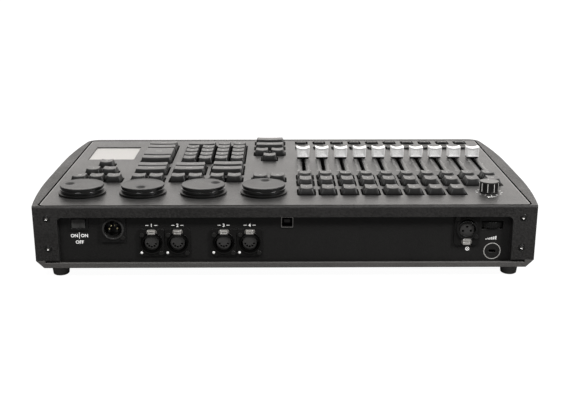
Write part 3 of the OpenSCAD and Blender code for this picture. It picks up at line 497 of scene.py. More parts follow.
class Finishes(Enum):
    """The finishes of the desk's pieces."""

    CASE = Finish("case_powder_coat", (0.0255, 0.0243, 0.0236), 0.54, specular=0.42, grain=1.3,
                  speckle=0.9, relief=0.75, wear_and_highlight=0.2)
    DECK = Finish("deck_powder_coat", (0.032, 0.0312, 0.0303), 0.44, grain=1.0, speckle=0.5,
                  relief=0.35, wear_and_highlight=0.3)
    # Paler than the case to paint the bounce light from the floor on the base's lip and flanks.
    TRAY = Finish("base_tray_coat_painted_floor_bounce", (0.105, 0.101, 0.097), 0.48, grain=1.0, speckle=0.5,
                  relief=0.4, wear_and_highlight=0.3)
    PANEL = Finish("bay_panel_coat", (0.0105, 0.01, 0.0096), 0.5, grain=0.9, speckle=0.4,
                   relief=0.3, wear_and_highlight=0.1)
    FLANGE = Finish("flange_coat", (0.0088, 0.0084, 0.0081), 0.45, specular=0.3, grain=0.7,
                    relief=0.2, wear_and_highlight=0.12, wear_and_highlight_radius=0.0004)
    # Lit and shaded copies of one key plastic: the top is painted lighter, the sides are painted darker as shade, and
    # the rim band is a painted highlight.
    KEY = Finish("key_top_painted_lighter", (0.013, 0.0127, 0.0123), 0.34, specular=0.26, grain=0.45)
    KEY_SIDE = Finish("key_side_painted_shade", (0.0075, 0.0073, 0.0071), 0.36, specular=0.36,
                      grain=0.45, speckle=0.35, relief=0.12, dust=0.02)
    KEY_EDGE = Finish("key_edge_painted_highlight", (0.12, 0.117, 0.113), 0.24, specular=0.55, grain=0.4,
                      relief=0.06, dust=0.0)
    GLOSS = Finish("gloss_black", (0.006, 0.006, 0.006), 0.16, coat=0.6, speckle=0.1,
                   relief=0.03)
    WHEEL_TOP = Finish("wheel_soft_grey", (0.036, 0.0355, 0.035), 0.5, grain=0.6, speckle=0.35,
                       relief=0.2)
    BRUSHED = Finish("knob_brushed_silver", (0.075, 0.0735, 0.071), 0.38, metallic=0.4,
                     speckle=0.25, wear_and_highlight=0.3)
    CAP = Finish("cap_satin_silver", (0.8, 0.793, 0.782), 0.28, metallic=0.4, grain=0.4,
                 speckle=0.1, relief=0.06, dust=0.0, glow=0.2)
    BLACK = Finish("connector_black", (0.008, 0.0078, 0.0076), 0.36, grain=0.4, speckle=0.25,
                   relief=0.12, wear_and_highlight=0.25, wear_and_highlight_radius=0.0003)
    # A light band that paints the highlight on the control plate's edge.
    CHAMFER = Finish("painted_edge_highlight", (0.11, 0.108, 0.105), 0.3, grain=0.4, speckle=0.15,
                     relief=0.05)
    INSERT = Finish("socket_insert_grey", (0.05, 0.0488, 0.0475), 0.45, relief=0.15, wear_and_highlight=0.2,
                    wear_and_highlight_radius=0.0003)
    COLLAR = Finish("power_collar_grey", (0.045, 0.044, 0.043), 0.42, relief=0.15, wear_and_highlight=0.2,
                    wear_and_highlight_radius=0.0003)
    ROCKER = Finish("rocker_grey", (0.07, 0.069, 0.067), 0.45, grain=0.4, speckle=0.2)
    STEEL = Finish("bright_steel", (0.62, 0.61, 0.59), 0.3, metallic=1.0, grain=0.6,
                   speckle=0.25, relief=0.12, dust=0.02)
    LATCH = Finish("latch_nickel", (0.82, 0.79, 0.74), 0.34, metallic=0.6, grain=0.4,
                   speckle=0.4, relief=0.2, dust=0.0, glow=0.14)
    # A darker copy of the latch nickel that paints the shade between the knurls.
    LATCH_BED = Finish("latch_bed", (0.2, 0.192, 0.18), 0.4, metallic=0.5, speckle=0.25,
                       dust=0.0, glow=0.03)
    KNURL = Finish("knob_side_metal", (0.022, 0.0215, 0.021), 0.3, metallic=0.5, grain=0.4,
                   speckle=0.2, relief=0.08, dust=0.0)
    JET = Finish("jet_black", (0.004, 0.0039, 0.0038), 0.85, specular=0.0, speckle=0.2, dust=0.0)
    SATIN = Finish("flange_satin_black", (0.006, 0.0058, 0.0056), 0.42, specular=0.22,
                   speckle=0.2, relief=0.08, dust=0.0)
    # Glowing silver for the upright bars that paint highlight streaks on the knob's side.
    INLAY = Finish("knob_painted_highlight_streak", (0.62, 0.61, 0.59), 0.35, metallic=0.3, grain=0.4,
                   speckle=0.15, relief=0.05, dust=0.0, glow=0.3)
    DARK_STEEL = Finish("black_oxide_screw", (0.04, 0.039, 0.0375), 0.3, metallic=0.6, grain=0.4,
                        relief=0.12, wear_and_highlight=0.4, wear_and_highlight_radius=0.0004)
    GOLD = Finish("contact_gold", (0.8, 0.66, 0.4), 0.26, metallic=1.0, grain=0.3, speckle=0.1,
                  relief=0.05, dust=0.0, glow=0.12)
    RUBBER = Finish("foot_rubber", (0.14, 0.137, 0.133), 0.62, grain=0.7, relief=0.3)
    PAD = Finish("pad_pale_film", (0.56, 0.547, 0.527), 0.5, speckle=0.04, relief=0.03, dust=0.0)
    PRINT = Finish("legend_white", (0.8, 0.79, 0.77), 0.6, grain=0.3, speckle=0.06, relief=0.04,
                   dust=0.0, glow=0.8)
    FAINT = Finish("legend_grey", (0.36, 0.353, 0.342), 0.6, grain=0.3, speckle=0.1, relief=0.04,
                   dust=0.0, glow=0.16)
    SILVER_INK = Finish("lock_ring_silver", (0.55, 0.54, 0.52), 0.4, metallic=0.2, grain=0.3,
                        speckle=0.1, relief=0.05, glow=0.08)
    LIGHT = Finish("light_lens", (0.85, 0.84, 0.81), 0.25, speckle=0.03, relief=0.02, dust=0.0,
                   glow=0.4)
    BOARD = Finish("board_green", (0.012, 0.06, 0.028), 0.35, grain=1.6, speckle=0.5,
                   relief=0.15)
    # The black of painted shade in recesses: the port's shell, the key switches and the pins deep in the inlet.
    WELL = Finish("well_painted_shade", (0.004, 0.004, 0.004), 0.6, grain=0.8, relief=0.2)

    def material(self) -> bpy.types.Material:
        """The built material of this finish."""
        return bpy.data.materials[self.value.name]


# ------------------------------------------------------------------ mesh making

def rounded(width: float, depth: float, radius: float, arc: int = 3,
            straight: int = 1) -> np.ndarray:
    """The outline of a rounded rectangle, anticlockwise.

    Args:
        width: Size along x.
        depth: Size along y.
        radius: Corner radius.
        arc: Steps in each corner.
        straight: Steps in each side.

    Returns:
        An array of x, y points.
    """
    radius = max(0.01, min(radius, width / 2 - 0.01, depth / 2 - 0.01))
    corners = []
    for k, (sx, sy) in enumerate(((1, 1), (-1, 1), (-1, -1), (1, -1))):
        mid = np.array([sx * (width / 2 - radius), sy * (depth / 2 - radius)])
        turns = (k + np.linspace(0, 1, arc + 1)) * math.pi / 2
        corners.append(mid + radius * np.stack([np.cos(turns), np.sin(turns)], 1))
    outline = []
    for k in range(4):
        outline.append(corners[k])
        start, end = corners[k][-1], corners[(k + 1) % 4][0]
        for s in range(1, straight):
            outline.append((start + (end - start) * s / straight)[None])
    return np.concatenate(outline)


def circle(radius: float, steps: int) -> np.ndarray:
    """Points on a circle, anticlockwise."""
    turns = np.linspace(0, 2 * math.pi, steps, endpoint=False)
    return radius * np.stack([np.cos(turns), np.sin(turns)], 1)


def level(outline: np.ndarray, z: float | np.ndarray,
          at: tuple[float, float] = (0, 0)) -> np.ndarray:
    """An outline set at a height.

    Args:
        outline: Its x, y points.
        z: The height, one or one for each point.
        at: What its middle moves to.

    Returns:
        An array of x, y, z points.
    """
    flat = outline + np.array(at)
    return np.column_stack([flat, np.broadcast_to(z, len(flat))])


def spoke(mid: np.ndarray, turn: float, inner: float, outer: float,
          half: float) -> np.ndarray:
    """The outline of a straight bar that points away from a middle, anticlockwise.

    Args:
        mid: The middle.
        turn: The way that it points, as an angle from x.
        inner: Where it starts, from the middle.
        outer: Where it ends.
        half: Half its width.

    Returns:
        An array of x, y points.
    """
    ray = np.array([math.cos(turn), math.sin(turn)])
    side = np.array([-ray[1], ray[0]]) * half
    return mid + np.array([ray * inner - side, ray * outer - side, ray * outer + side,
                           ray * inner + side])


def centre(points: np.ndarray) -> np.ndarray:
    """The middle of the box round some points."""
    return (points.min(0) + points.max(0)) / 2


def at_height(points: np.ndarray, z: float, within: float = NEAR) -> np.ndarray:
    """Those of some points that lie at a height."""
    return points[np.abs(points[:, 2] - z) < within]


class Mould:
    """Gathers the points and faces of one piece in millimetres of a frame."""

    def __init__(self, frame: Matrix) -> None:
        """Starts empty.

        Args:
            frame: The frame that the piece is drawn in.
        """
        self.frame = frame
        self.points: list[np.ndarray] = []
        self.faces: list[tuple[int, ...]] = []
        self.paints: list[int] = []
        self.count = 0

    def _add(self, points: np.ndarray) -> int:
        """Adds points.

        Args:
            points: One in each row.

        Returns:
            The first one's number.
        """
        first = self.count
        self.points.append(np.asarray(points, float))
        self.count += len(points)
        return first

    def face(self, corners: tuple[int, ...], paint: int = 0) -> None:
        """Adds one face by its points' numbers."""
        self.faces.append(tuple(corners))
        self.paints.append(paint)

    def loft(self, rings: list[np.ndarray], paint: int | list[int] = 0,
             low: bool = True, high: bool = True) -> None:
        """A closed skin over rings of as many points each.

        Args:
            rings: The rings from low to high, anticlockwise seen from above.
            paint: The finish, one or one for each band and then the high cap.
            low: Whether the first ring is closed.
            high: Whether the last ring is closed, with a point in its middle.
        """
        paints = [paint] * len(rings) if isinstance(paint, int) else list(paint)
        n = len(rings[0])
        first = self._add(np.concatenate(rings))
        for k in range(len(rings) - 1):
            for i in range(n):
                j = (i + 1) % n
                a, b = first + k * n, first + (k + 1) * n
                self.face((a + i, a + j, b + j, b + i), paints[k])
        if low:
            self.face(tuple(first + i for i in reversed(range(n))), paints[0])
        if high:
            last = first + (len(rings) - 1) * n
            mid = self._add(rings[-1].mean(0)[None])
            for i in range(n):
                self.face((last + i, last + (i + 1) % n, mid), paints[-1])

    def lathe(self, profile: Pairs | list[tuple[float, float]], steps: int,
              at: Point = (0, 0, 0), paint: int | list[int] = 0,
              low: bool = True, high: bool = True) -> None:
        """A turned form about z through a point; see loft for paint, low and high."""
        rings = [level(circle(max(r, 0.01), steps), z + at[2], at[:2]) for r, z in profile]
        self.loft(rings, paint, low, high)

    def block(self, low: Point, high: Point, edge: float = 0.3, radius: float = 0.3,
              paint: int = 0) -> None:
        """A box with rounded upright corners and chamfered edges.

        Args:
            low: Its lowest corner.
            high: Its highest corner.
            edge: The chamfer at top and bottom.
            radius: The radius of its upright corners.
            paint: The finish.
        """
        size, mid = np.subtract(high, low), np.add(high, low) / 2
        edge = min(edge, size.min() / 3)
        small = rounded(size[0] - 2 * edge, size[1] - 2 * edge, radius)
        full = rounded(size[0], size[1], radius + edge)
        self.loft([level(small, low[2], mid[:2]), level(full, low[2] + edge, mid[:2]),
                   level(full, high[2] - edge, mid[:2]), level(small, high[2], mid[:2])],
                  paint)

    def plate(self, outline: np.ndarray, faces: list[tuple[int, ...]], paint: int = 0) -> None:
        """Adds ready points and faces, such as a letter's.

        Args:
            outline: The points.
            faces: The faces, by the numbers of their points.
            paint: The finish.
        """
        first = self._add(outline)
        for corners in faces:
            self.face(tuple(first + i for i in corners), paint)

    def piece(self, name: str, finishes: list[Finishes], smooth: float = 38) -> bpy.types.Object:
        """Makes the object.

        Args:
            name: Its name.
            finishes: Its finishes, in the order of the paint numbers.
            smooth: The sharpest angle in degrees that is still shaded smooth.

        Returns:
            The object, placed in the row frame.
        """
        mesh = bpy.data.meshes.new(name)
        mesh.from_pydata([tuple(p) for p in np.concatenate(self.points)], [], self.faces)
        for finish in finishes:
            mesh.materials.append(finish.material())
        mesh.polygons.foreach_set("material_index", self.paints)
        mesh.transform(self.frame)
        bm = bmesh.new()
        bm.from_mesh(mesh)
        bmesh.ops.recalc_face_normals(bm, faces=bm.faces)
        bm.to_mesh(mesh)
        bm.free()
        mesh.shade_smooth()
        mesh.set_sharp_from_angle(angle=math.radians(smooth))
        mesh.update()
        made = bpy.data.objects.new(name, mesh)
        bpy.context.scene.collection.objects.link(made)
        return made


def place(piece: bpy.types.Object, body: str, slot: str, *nodes: str) -> bpy.types.Object:
    """Sets a piece on its body, with its slot and the CAD nodes that it stands for.

    Args:
        piece: The new piece.
        body: The CAD body that carries it.
        slot: The record's material slot.
        nodes: The CAD nodes that it replaces.

    Returns:
        The piece.
    """
    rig.ride(piece, body)
    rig.slot(piece, slot)
    if nodes:
        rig.replaces(piece, *nodes)
    LOG.info("%s rides on %s", piece.name, body)
    return piece


class CadSolids:
    """Reads the solids of a CAD node in one of the desk's frames."""

    def __init__(self, nodes: dict[str, bpy.types.Object]) -> None:
        """Keeps the frame's nodes."""
        self.nodes = nodes

    def of(self, node: str, frame: Matrix) -> list[np.ndarray]:
        """The points of each separate solid.

        Args:
            node: The CAD node's name.
            frame: The frame whose millimetres the points are given in.

        Returns:
            One array of points for each solid, from the left to the right.
        """
        bm = bmesh.new()
        bm.from_mesh(self.nodes[node].data)
        bmesh.ops.remove_doubles(bm, verts=bm.verts, dist=1e-6)
        bm.transform(frame.inverted())
        seen: set[bmesh.types.BMVert] = set()
        found = []
        for start in bm.verts:
            if start in seen:
                continue
            stack, group = [start], []
            seen.add(start)
            while stack:
                vert = stack.pop()
                group.append(tuple(vert.co))
                for edge in vert.link_edges:
                    other = edge.other_vert(vert)
                    if other not in seen:
                        seen.add(other)
                        stack.append(other)
            found.append(np.array(group))
        bm.free()
        return sorted(found, key=lambda p: (round(p[:, 0].mean(), 2), p[:, 1].mean()))


class Lettering:
    """Turns plain figures, short words and bars into thin printed solids."""

    rise = 0.05
    sunk = 0.1
    bold = 0.014
    curve_steps = 3
    least_tall = 0.3
    bar_edge = 0.02

    def __init__(self) -> None:
        """Starts with no shapes kept."""
        self.kept: dict[str, tuple] = {}

    def shape(self, text: str) -> tuple:
        """The flat form of a text one unit tall, centred on its middle.

        Args:
            text: The text.

        Returns:
            The x, y points, the faces over them and the edges round them.
        """
        if text not in self.kept:
            curve = bpy.data.curves.new("figure", "FONT")
            curve.body, curve.offset = text, self.bold
            curve.resolution_u = self.curve_steps
            temp = bpy.data.objects.new("figure", curve)
            bpy.context.scene.collection.objects.link(temp)
            mesh = bpy.data.meshes.new_from_object(
                temp.evaluated_get(bpy.context.evaluated_depsgraph_get()))
            bm = bmesh.new()
            bm.from_mesh(mesh)
            bmesh.ops.remove_doubles(bm, verts=bm.verts, dist=1e-5)
            flat = np.array([v.co[:2] for v in bm.verts])
            faces = [tuple(v.index for v in f.verts) for f in bm.faces]
            rim = [(lo.vert.index, lo.link_loop_next.vert.index)
                   for f in bm.faces for lo in f.loops if lo.edge.is_boundary]
            bm.free()
            flat -= (flat.max(0) + flat.min(0)) / 2
            flat /= max(np.ptp(flat[:, 1]), self.least_tall)
            bpy.data.objects.remove(temp)
            bpy.data.curves.remove(curve)
            bpy.data.meshes.remove(mesh)
            self.kept[text] = (flat, faces, rim)
        return self.kept[text]

    def write(self, mould: Mould, text: str, at: Point, height: float, paint: int = 0,
              bend: Callable | None = None) -> None:
        """Prints a text on a piece.

        Args:
            mould: The piece.
            text: The text.
            at: The middle of the text, with the height of the printed face.
            height: The height of its figures.
            paint: The finish.
            bend: A function of x and y that gives the surface's height, or None.
        """
        flat, faces, rim = self.shape(text)
        flat = flat * height + at[:2]
        z = at[2] + (bend(flat[:, 0], flat[:, 1]) if bend else np.zeros(len(flat)))
        n = len(flat)
        both = np.concatenate([np.column_stack([flat, z + self.rise]),
                               np.column_stack([flat, z - self.sunk])])
        under = [tuple(i + n for i in reversed(f)) for f in faces]
        walls = [(b, a, a + n, b + n) for a, b in rim]
        mould.plate(both, faces + under + walls, paint)

    @classmethod
    def bar(cls, mould: Mould, low: tuple[float, float], high: tuple[float, float],
            z: float = 0.0, radius: float = 0.05, paint: int = 0) -> None:
        """Prints one plain bar.

        Args:
            mould: The piece.
            low: Its lowest corner, as x and y.
            high: Its highest corner.
            z: The height of the printed face.
            radius: The radius of its corners.
            paint: The finish.
        """
        mould.block((*low, z - cls.sunk), (*high, z + cls.rise), cls.bar_edge, radius, paint)


# ------------------------------------------------------------------ studio

@dataclass(frozen=True)
class SoftBox:
    """One soft box: where it hangs, its width and height, and its watts."""

    name: str
    at: Point
    size: tuple[float, float]
    power: float


@dataclass
class Studio:
    """The camera at the photograph's place, the pale floor and the soft light."""

    eye: Point = (6.593, 948.127, 277.15)
    pitch: float = math.radians(15.936)
    yaw: float = math.radians(0.381)
    roll: float = math.radians(-0.034)
    focal: float = 975.0
    sensor: float = 36.0
    sight: float = 40.0
    floor_reach: float = 9.0
    floor_grey: float = 0.1
    floor_roughness: float = 0.9
    floor_glow: float = 0.965
    far_light: tuple[float, float] = (2.75, 2.0)
    wall_far: tuple[float, float] = (-0.9, -0.25)
    wall_low: tuple[float, float] = (0.55, 0.95)
    wall_wide: tuple[float, float] = (-0.8, 0.8)
    room_light: float = 0.17
    warm: Point = (0.82, 0.797, 0.775)
    aim: Point = (0, 0, 0.05)
    boxes: tuple[SoftBox, ...] = (
        SoftBox("soft_box_front", (0.55, 1.15, 1.75), (0.7, 0.35), 18.0),
        SoftBox("soft_box_left", (-1.25, 0.75, 1.35), (0.35, 0.7), 27.0))

    def camera(self) -> bpy.types.Object:
        """Sets up the camera that was fitted to the deck's edges.

        Returns:
            The camera.
        """
        data = bpy.data.cameras.new("camera")
        data.sensor_fit = "AUTO"
        data.sensor_width = self.sensor
        data.lens = self.focal / FRAME_W * self.sensor
        data.clip_end = self.sight
        made = bpy.data.objects.new("camera", data)
        bpy.context.scene.collection.objects.link(made)
        ahead = Vector((-math.sin(self.yaw) * math.cos(self.pitch),
                        -math.cos(self.yaw) * math.cos(self.pitch), -math.sin(self.pitch)))
        right = Vector((-math.cos(self.yaw), math.sin(self.yaw), 0.0))
        up = right.cross(ahead)
        cos, sin = math.cos(self.roll), math.sin(self.roll)
        right, up = right * cos + up * sin, up * cos - right * sin
        axes = Matrix((right, up, -ahead)).transposed()
        turn = FRAMES.deck().to_3x3().normalized()
        made.matrix_world = Matrix.Translation(FRAMES.deck() @ Vector(self.eye)) @ (
            turn @ axes).to_4x4()
        bpy.context.scene.camera = made
        return made

    def floor(self) -> bpy.types.Object:
        """Lays the plain pale floor.

        Returns:
            The floor.
        """
        mesh = bpy.data.meshes.new("studio_floor")
        r = self.floor_reach
        mesh.from_pydata([(-r, -r, 0), (r, -r, 0), (r, r, 0), (-r, r, 0)], [], [(0, 1, 2, 3)])
        paint = bpy.data.materials.new("floor_paper")
        paint.use_nodes = True
        graph = Graph(paint.node_tree)
        seen = graph.add("ShaderNodeLightPath").outputs["Is Camera Ray"]
        paper = graph.add("ShaderNodeBsdfPrincipled")
        graph.feed(paper, "Base Color", (*[self.floor_grey] * 3, 1.0))
        graph.feed(paper, "Roughness", self.floor_roughness)
        graph.feed(paper, "Emission Color", (1.0, 1.0, 1.0, 1.0))
        graph.feed(paper, "Emission Strength",
                   graph.spread(seen, 0.0, 1.0, 0.0, self.floor_glow))
        graph.feed(graph.add("ShaderNodeOutputMaterial"), "Surface", paper.outputs[0])
        mesh.materials.append(paint)
        made = bpy.data.objects.new("studio_floor", mesh)
        bpy.context.scene.collection.objects.link(made)
        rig.stage(made)
        return made

    def world(self) -> None:
        """Lights the room: a bright low wall beyond the desk, dim elsewhere."""
        world = bpy.data.worlds.new("studio")
        world.use_nodes = True
        bpy.context.scene.world = world
        graph = Graph(world.node_tree)
        way = graph.add("ShaderNodeSeparateXYZ")
        graph.feed(way, 0, graph.add("ShaderNodeTexCoord").outputs["Generated"])
        beyond = graph.spread(way.outputs["Y"], *self.wall_far, 1.0, 0.0)
        low = graph.spread(way.outputs["Z"], *self.wall_low, 1.0, 0.0)
        across = graph.spread(way.outputs["X"], *self.wall_wide, *self.far_light)
        wall = graph.math("MULTIPLY", graph.math("MULTIPLY", beyond, low), across)
        light = graph.math("ADD", wall, self.room_light)
        seen = graph.add("ShaderNodeLightPath").outputs["Is Camera Ray"]
        room = graph.add("ShaderNodeBackground", Color=(*self.warm, 1.0), Strength=light)
        paper = graph.add("ShaderNodeBackground", Color=(1.0, 1.0, 1.0, 1.0), Strength=1.0)
        both = graph.add("ShaderNodeMixShader")
        graph.feed(both, 0, seen)
        graph.feed(both, 1, room.outputs[0])
        graph.feed(both, 2, paper.outputs[0])
        graph.feed(graph.add("ShaderNodeOutputWorld"), "Surface", both.outputs[0])

    def hang(self, box: SoftBox) -> bpy.types.Object:
        """Hangs one soft box, pointed at the desk.

        Args:
            box: The soft box.

        Returns:
            The lamp.
        """
        data = bpy.data.lights.new(box.name, "AREA")
        data.shape = "RECTANGLE"
        data.size, data.size_y = box.size
        data.energy = box.power
        made = bpy.data.objects.new(box.name, data)
        made.location = box.at
        way = Vector(self.aim) - Vector(box.at)
        made.rotation_euler = way.to_track_quat("-Z", "Y").to_euler()
        bpy.context.scene.collection.objects.link(made)
        return made

    def build(self) -> bpy.types.Object:
        """Sets up the whole studio.

        Returns:
            The camera.
        """
        bpy.context.scene.view_settings.view_transform = "Standard"
        self.world()
        self.floor()
        for box in self.boxes:
            self.hang(box)
        return self.camera()


# ------------------------------------------------------------------ housing

@dataclass
class Housing:
    """The CAD nodes that are right as they are, and their finishes."""

    nodes: dict[str, bpy.types.Object]
    dress: dict[Finishes, str] = field(default_factory=lambda: {
        Finishes.CASE: "casing",
        Finishes.DECK: "control_plate",
        Finishes.TRAY: "base_tray",
        Finishes.PANEL: "rear_panel",
        Finishes.PAD: "pad_inlay",
        Finishes.BLACK: "power_inlet switch_frame",
        Finishes.FLANGE: "dmx_sockets lamp_socket",
        # The port's shell and the key switches take the black of painted shade in their recesses.
        Finishes.WELL: "usb_port key_switches",
        Finishes.INSERT: "status_lights",
        Finishes.FAINT: "inner_cables",
        Finishes.BOARD: "io_board key_board fader_board main_board",
        Finishes.STEEL: "plate_nuts dimmer_body board_pillars board_screws",
        Finishes.DARK_STEEL: "bottom_screws casing_screws panel_screws lock_plate "
                             "fader_frames encoder_bodies"})

    def build(self) -> None:
        """Gives each carried-over node its finish."""
        for finish, names in self.dress.items():
            for name in names.split():
                data = self.nodes[name].data
                data.materials.clear()
                data.materials.append(finish.material())
                LOG.info("%s keeps its CAD shape in %s", name, finish.value.name)


# ------------------------------------------------------------------ keys

class Legend(Enum):
    """What a group of keys has printed on it."""

    COUNT = "count"
    FIGURES = "figures"
    SIGNS = "signs"
    BAR = "bar"


@dataclass(frozen=True)
class KeyStyle:
    """The form of a group's key caps: how deep the top is dished and scooped, its print."""

    dish: float
    scoop: float
    corner: float
    legend: Legend
    print_tall: float = 3.0


@dataclass
class KeyFields:
    """The ten groups of key caps, each group on the body that it is pressed with."""

    solids: CadSolids
    letters: Lettering
    plane: float = 0.8
    pitch: float = 19.05
    hem: float = 0.5
    hem_rise: float = 0.3
    hem_top: float = 0.15
    stem_in: float = 0.4
    skirt_corner: float = 1.3
    corner_gain: float = 0.4
    clear: float = 0.35
    # Widths of the black band of painted shade round a key's opening, for large and small keys.
    frame: float = 1.15
    small_key: float = 14.0
    small_shade_band: float = 1.9
    fillet: Pairs = ((-0.1, 0.62), (0.02, 0.26), (0.22, 0.08), (0.55, 0.0))
    flank: Point = (0.03, 0.35, 0.7)
    crown_shares: Point = (0.75, 0.5, 0.25)
    wide_over: float = 20.0
    wide_dish: float = 0.55
    bar_share: float = 0.2
    bar_most: float = 3.6
    bar_half: float = 0.45
    rows: tuple[str, ...] = ("0.  ", "123+", "456-", "789<", "/*()")
    sign_row: str = "+-<>/="
    groups: tuple[str, ...] = (
        "executor_keys_a", "executor_keys_b", "executor_keys_c", "flash_keys_rear",
        "flash_keys_front", "pyramid_keys", "wide_keys", "number_keys", "menu_keys",
        "centre_keys")
    executor: KeyStyle = KeyStyle(0.85, 0.0, 1.3, Legend.COUNT, 2.6)
    flash: KeyStyle = KeyStyle(0.1, 0.95, 1.0, Legend.COUNT, 2.2)
    figures: KeyStyle = KeyStyle(0.9, 0.0, 1.7, Legend.FIGURES, 3.8)
    signs: KeyStyle = KeyStyle(0.9, 0.0, 1.7, Legend.SIGNS, 2.6)
    plain: KeyStyle = KeyStyle(0.9, 0.0, 1.7, Legend.BAR)

    def style(self, node: str) -> KeyStyle:
        """The style of one group.

        Args:
            node: The group's CAD node.

        Returns:
            Its style.
        """
        named = {"flash": self.flash, "execu": self.executor, "numbe": self.figures,
                 "pyram": self.signs}
        return named.get(node[:5], self.plain)

    def surround(self, gaps: Mould, mid: np.ndarray, base: np.ndarray) -> None:
        """Lays a thin black band round one key at the deck's opening, as painted shade of the gap round the key.

        Args:
            gaps: The mould of the painted-shade bands.
            mid: The key's middle.
            base: The key's size at its foot.
        """
        hole = base + 2 * self.clear
        wide = 2 * (self.frame if base[0] > self.small_key else self.small_shade_band)
        rings = [level(rounded(*(hole + grow), self.skirt_corner), z, mid) for grow, z in (
            (wide, -0.1), (wide, 0.06), (wide - 0.3, 0.1), (0.1, 0.1), (0.0, -0.1),
            (wide, -0.1))]
        gaps.loft(rings, 0, False, False)

    def cap(self, mould: Mould, gaps: Mould, points: np.ndarray, style: KeyStyle,
            text: str) -> None:
        """Models one key cap and its stem.

        Args:
            mould: The group's mould.
            gaps: The mould of the black painted-shade bands round the keys.
            points: The CAD solid's points.
            style: The group's style.
            text: What is printed on it.
        """
        low, high = points.min(0), points.max(0)
        crown, stem = at_height(points, high[2]), at_height(points, low[2])
        skirt = at_height(points, self.plane)
        under = sorted(set(np.round(points[:, 2], 2)))[1]
        mid, peak = centre(points)[:2], centre(crown)[:2]
        base, top = np.ptp(skirt, axis=0)[:2], np.ptp(crown, axis=0)[:2]
        dish = style.dish * (self.wide_dish if top[0] > self.wide_over else 1.0)

        def dip(x: float | np.ndarray, y: float | np.ndarray) -> float | np.ndarray:
            """The height of the dished top over its rim, which is never above 0.

            Args:
                x: Where on the cap, along the row.
                y: Where on the cap, from front to rear.

            Returns:
                The height, one or one for each x and y.
            """
            across = np.clip(np.abs(x - peak[0]) / (top[0] / 2), 0, 1)
            along = np.clip(np.abs(y - peak[1]) / (top[1] / 2), 0, 1)
            return -dish * (1 - across ** 2) - style.scoop * (1 - along ** 2)

        def crowned(size: np.ndarray, z: float) -> np.ndarray:
            """One ring of a size and height that follows the dished top."""
            ring = level(rounded(*size, style.corner, 3, 5), z, peak)
            return ring + dip(ring[:, 0], ring[:, 1])[:, None] * (0, 0, 1)

        def skirted(size: np.ndarray, z: float, at: np.ndarray,
                    more: float = 0.0) -> np.ndarray:
            """One level ring below the top."""
            return level(rounded(*size, self.skirt_corner + more, 3, 5), z, at)

        rise = high[2] - self.plane
        rings = [skirted(base - self.hem, under, mid),
                 skirted(base, under + self.hem_rise, mid),
                 skirted(base, self.plane - self.hem_top, mid)]
        for part in self.flank:
            size = base + (top - base) * part
            ring = skirted(size, self.plane + rise * part, mid + (peak - mid) * part,
                           self.corner_gain * part)
            ring[:, 2] += part ** 2 * dip(*(peak + (ring[:, :2] - mid) * top / size).T)
            rings.append(ring)
        rings += [crowned(top - 2 * inset, high[2] - drop) for inset, drop in self.fillet]
        rings += [crowned(top * share, high[2]) for share in self.crown_shares]
        # The sides take the shaded copy of the key plastic, one band at the top's rim takes the painted highlight, and
        # the top takes the lighter copy.
        below = 3 + len(self.flank)
        side, edge, face = below + 1, 1, len(rings) - below - 2
        mould.loft(rings, [2] * side + [3] * edge + [0] * face)
        self.surround(gaps, mid, base)
        mould.block((*stem.min(0)[:2], low[2]), (*stem.max(0)[:2], under + self.stem_in),
                    edge=0.2, radius=0.3)
        if style.legend is Legend.BAR:
            half = np.array([min(top[0] * self.bar_share, self.bar_most), self.bar_half])
            self.letters.bar(mould, peak - half, peak + half, high[2] + dip(*peak),
                             radius=0.1, paint=1)
        elif text:
            self.letters.write(mould, text, (*peak, high[2]), style.print_tall, 1, dip)

    def figure(self, points: np.ndarray, field_low: np.ndarray) -> str:
        """The figure or sign on a key of the number field.

        Args:
            points: The key's points.
            field_low: The field's lowest corner.

        Returns:
            The figure.
        """
        column, row = ((centre(points) - field_low)[:2] / self.pitch).astype(int)
        line = self.rows[min(row, len(self.rows) - 1)]
        return line[min(column, len(line) - 1)].strip()

    def build(self) -> None:
        """Models each group."""
        gaps = Mould(FRAMES.deck())
        for node in self.groups:
            style = self.style(node)
            mould = Mould(FRAMES.deck())
            keys = self.solids.of(node, FRAMES.deck())
            low = np.min([k.min(0) for k in keys], 0)
            for k, points in enumerate(keys):
                text = ""
                if style.legend is Legend.FIGURES:
                    text = self.figure(points, low)
                elif style.legend is Legend.SIGNS:
                    text = self.sign_row[k]
                elif style.legend is Legend.COUNT:
                    text = str(len(keys) - k)
                self.cap(mould, gaps, points, style, text)
            place(mould.piece(node + "_caps", [
                Finishes.KEY, Finishes.FAINT, Finishes.KEY_SIDE, Finishes.KEY_EDGE]), node,
                  "key_plastic", node)
        # Black bands that paint the shade in the gaps round the keys.
        place(gaps.piece("key_opening_frames", [Finishes.JET]), "desk", "deck_paint")


# ------------------------------------------------------------------ faders

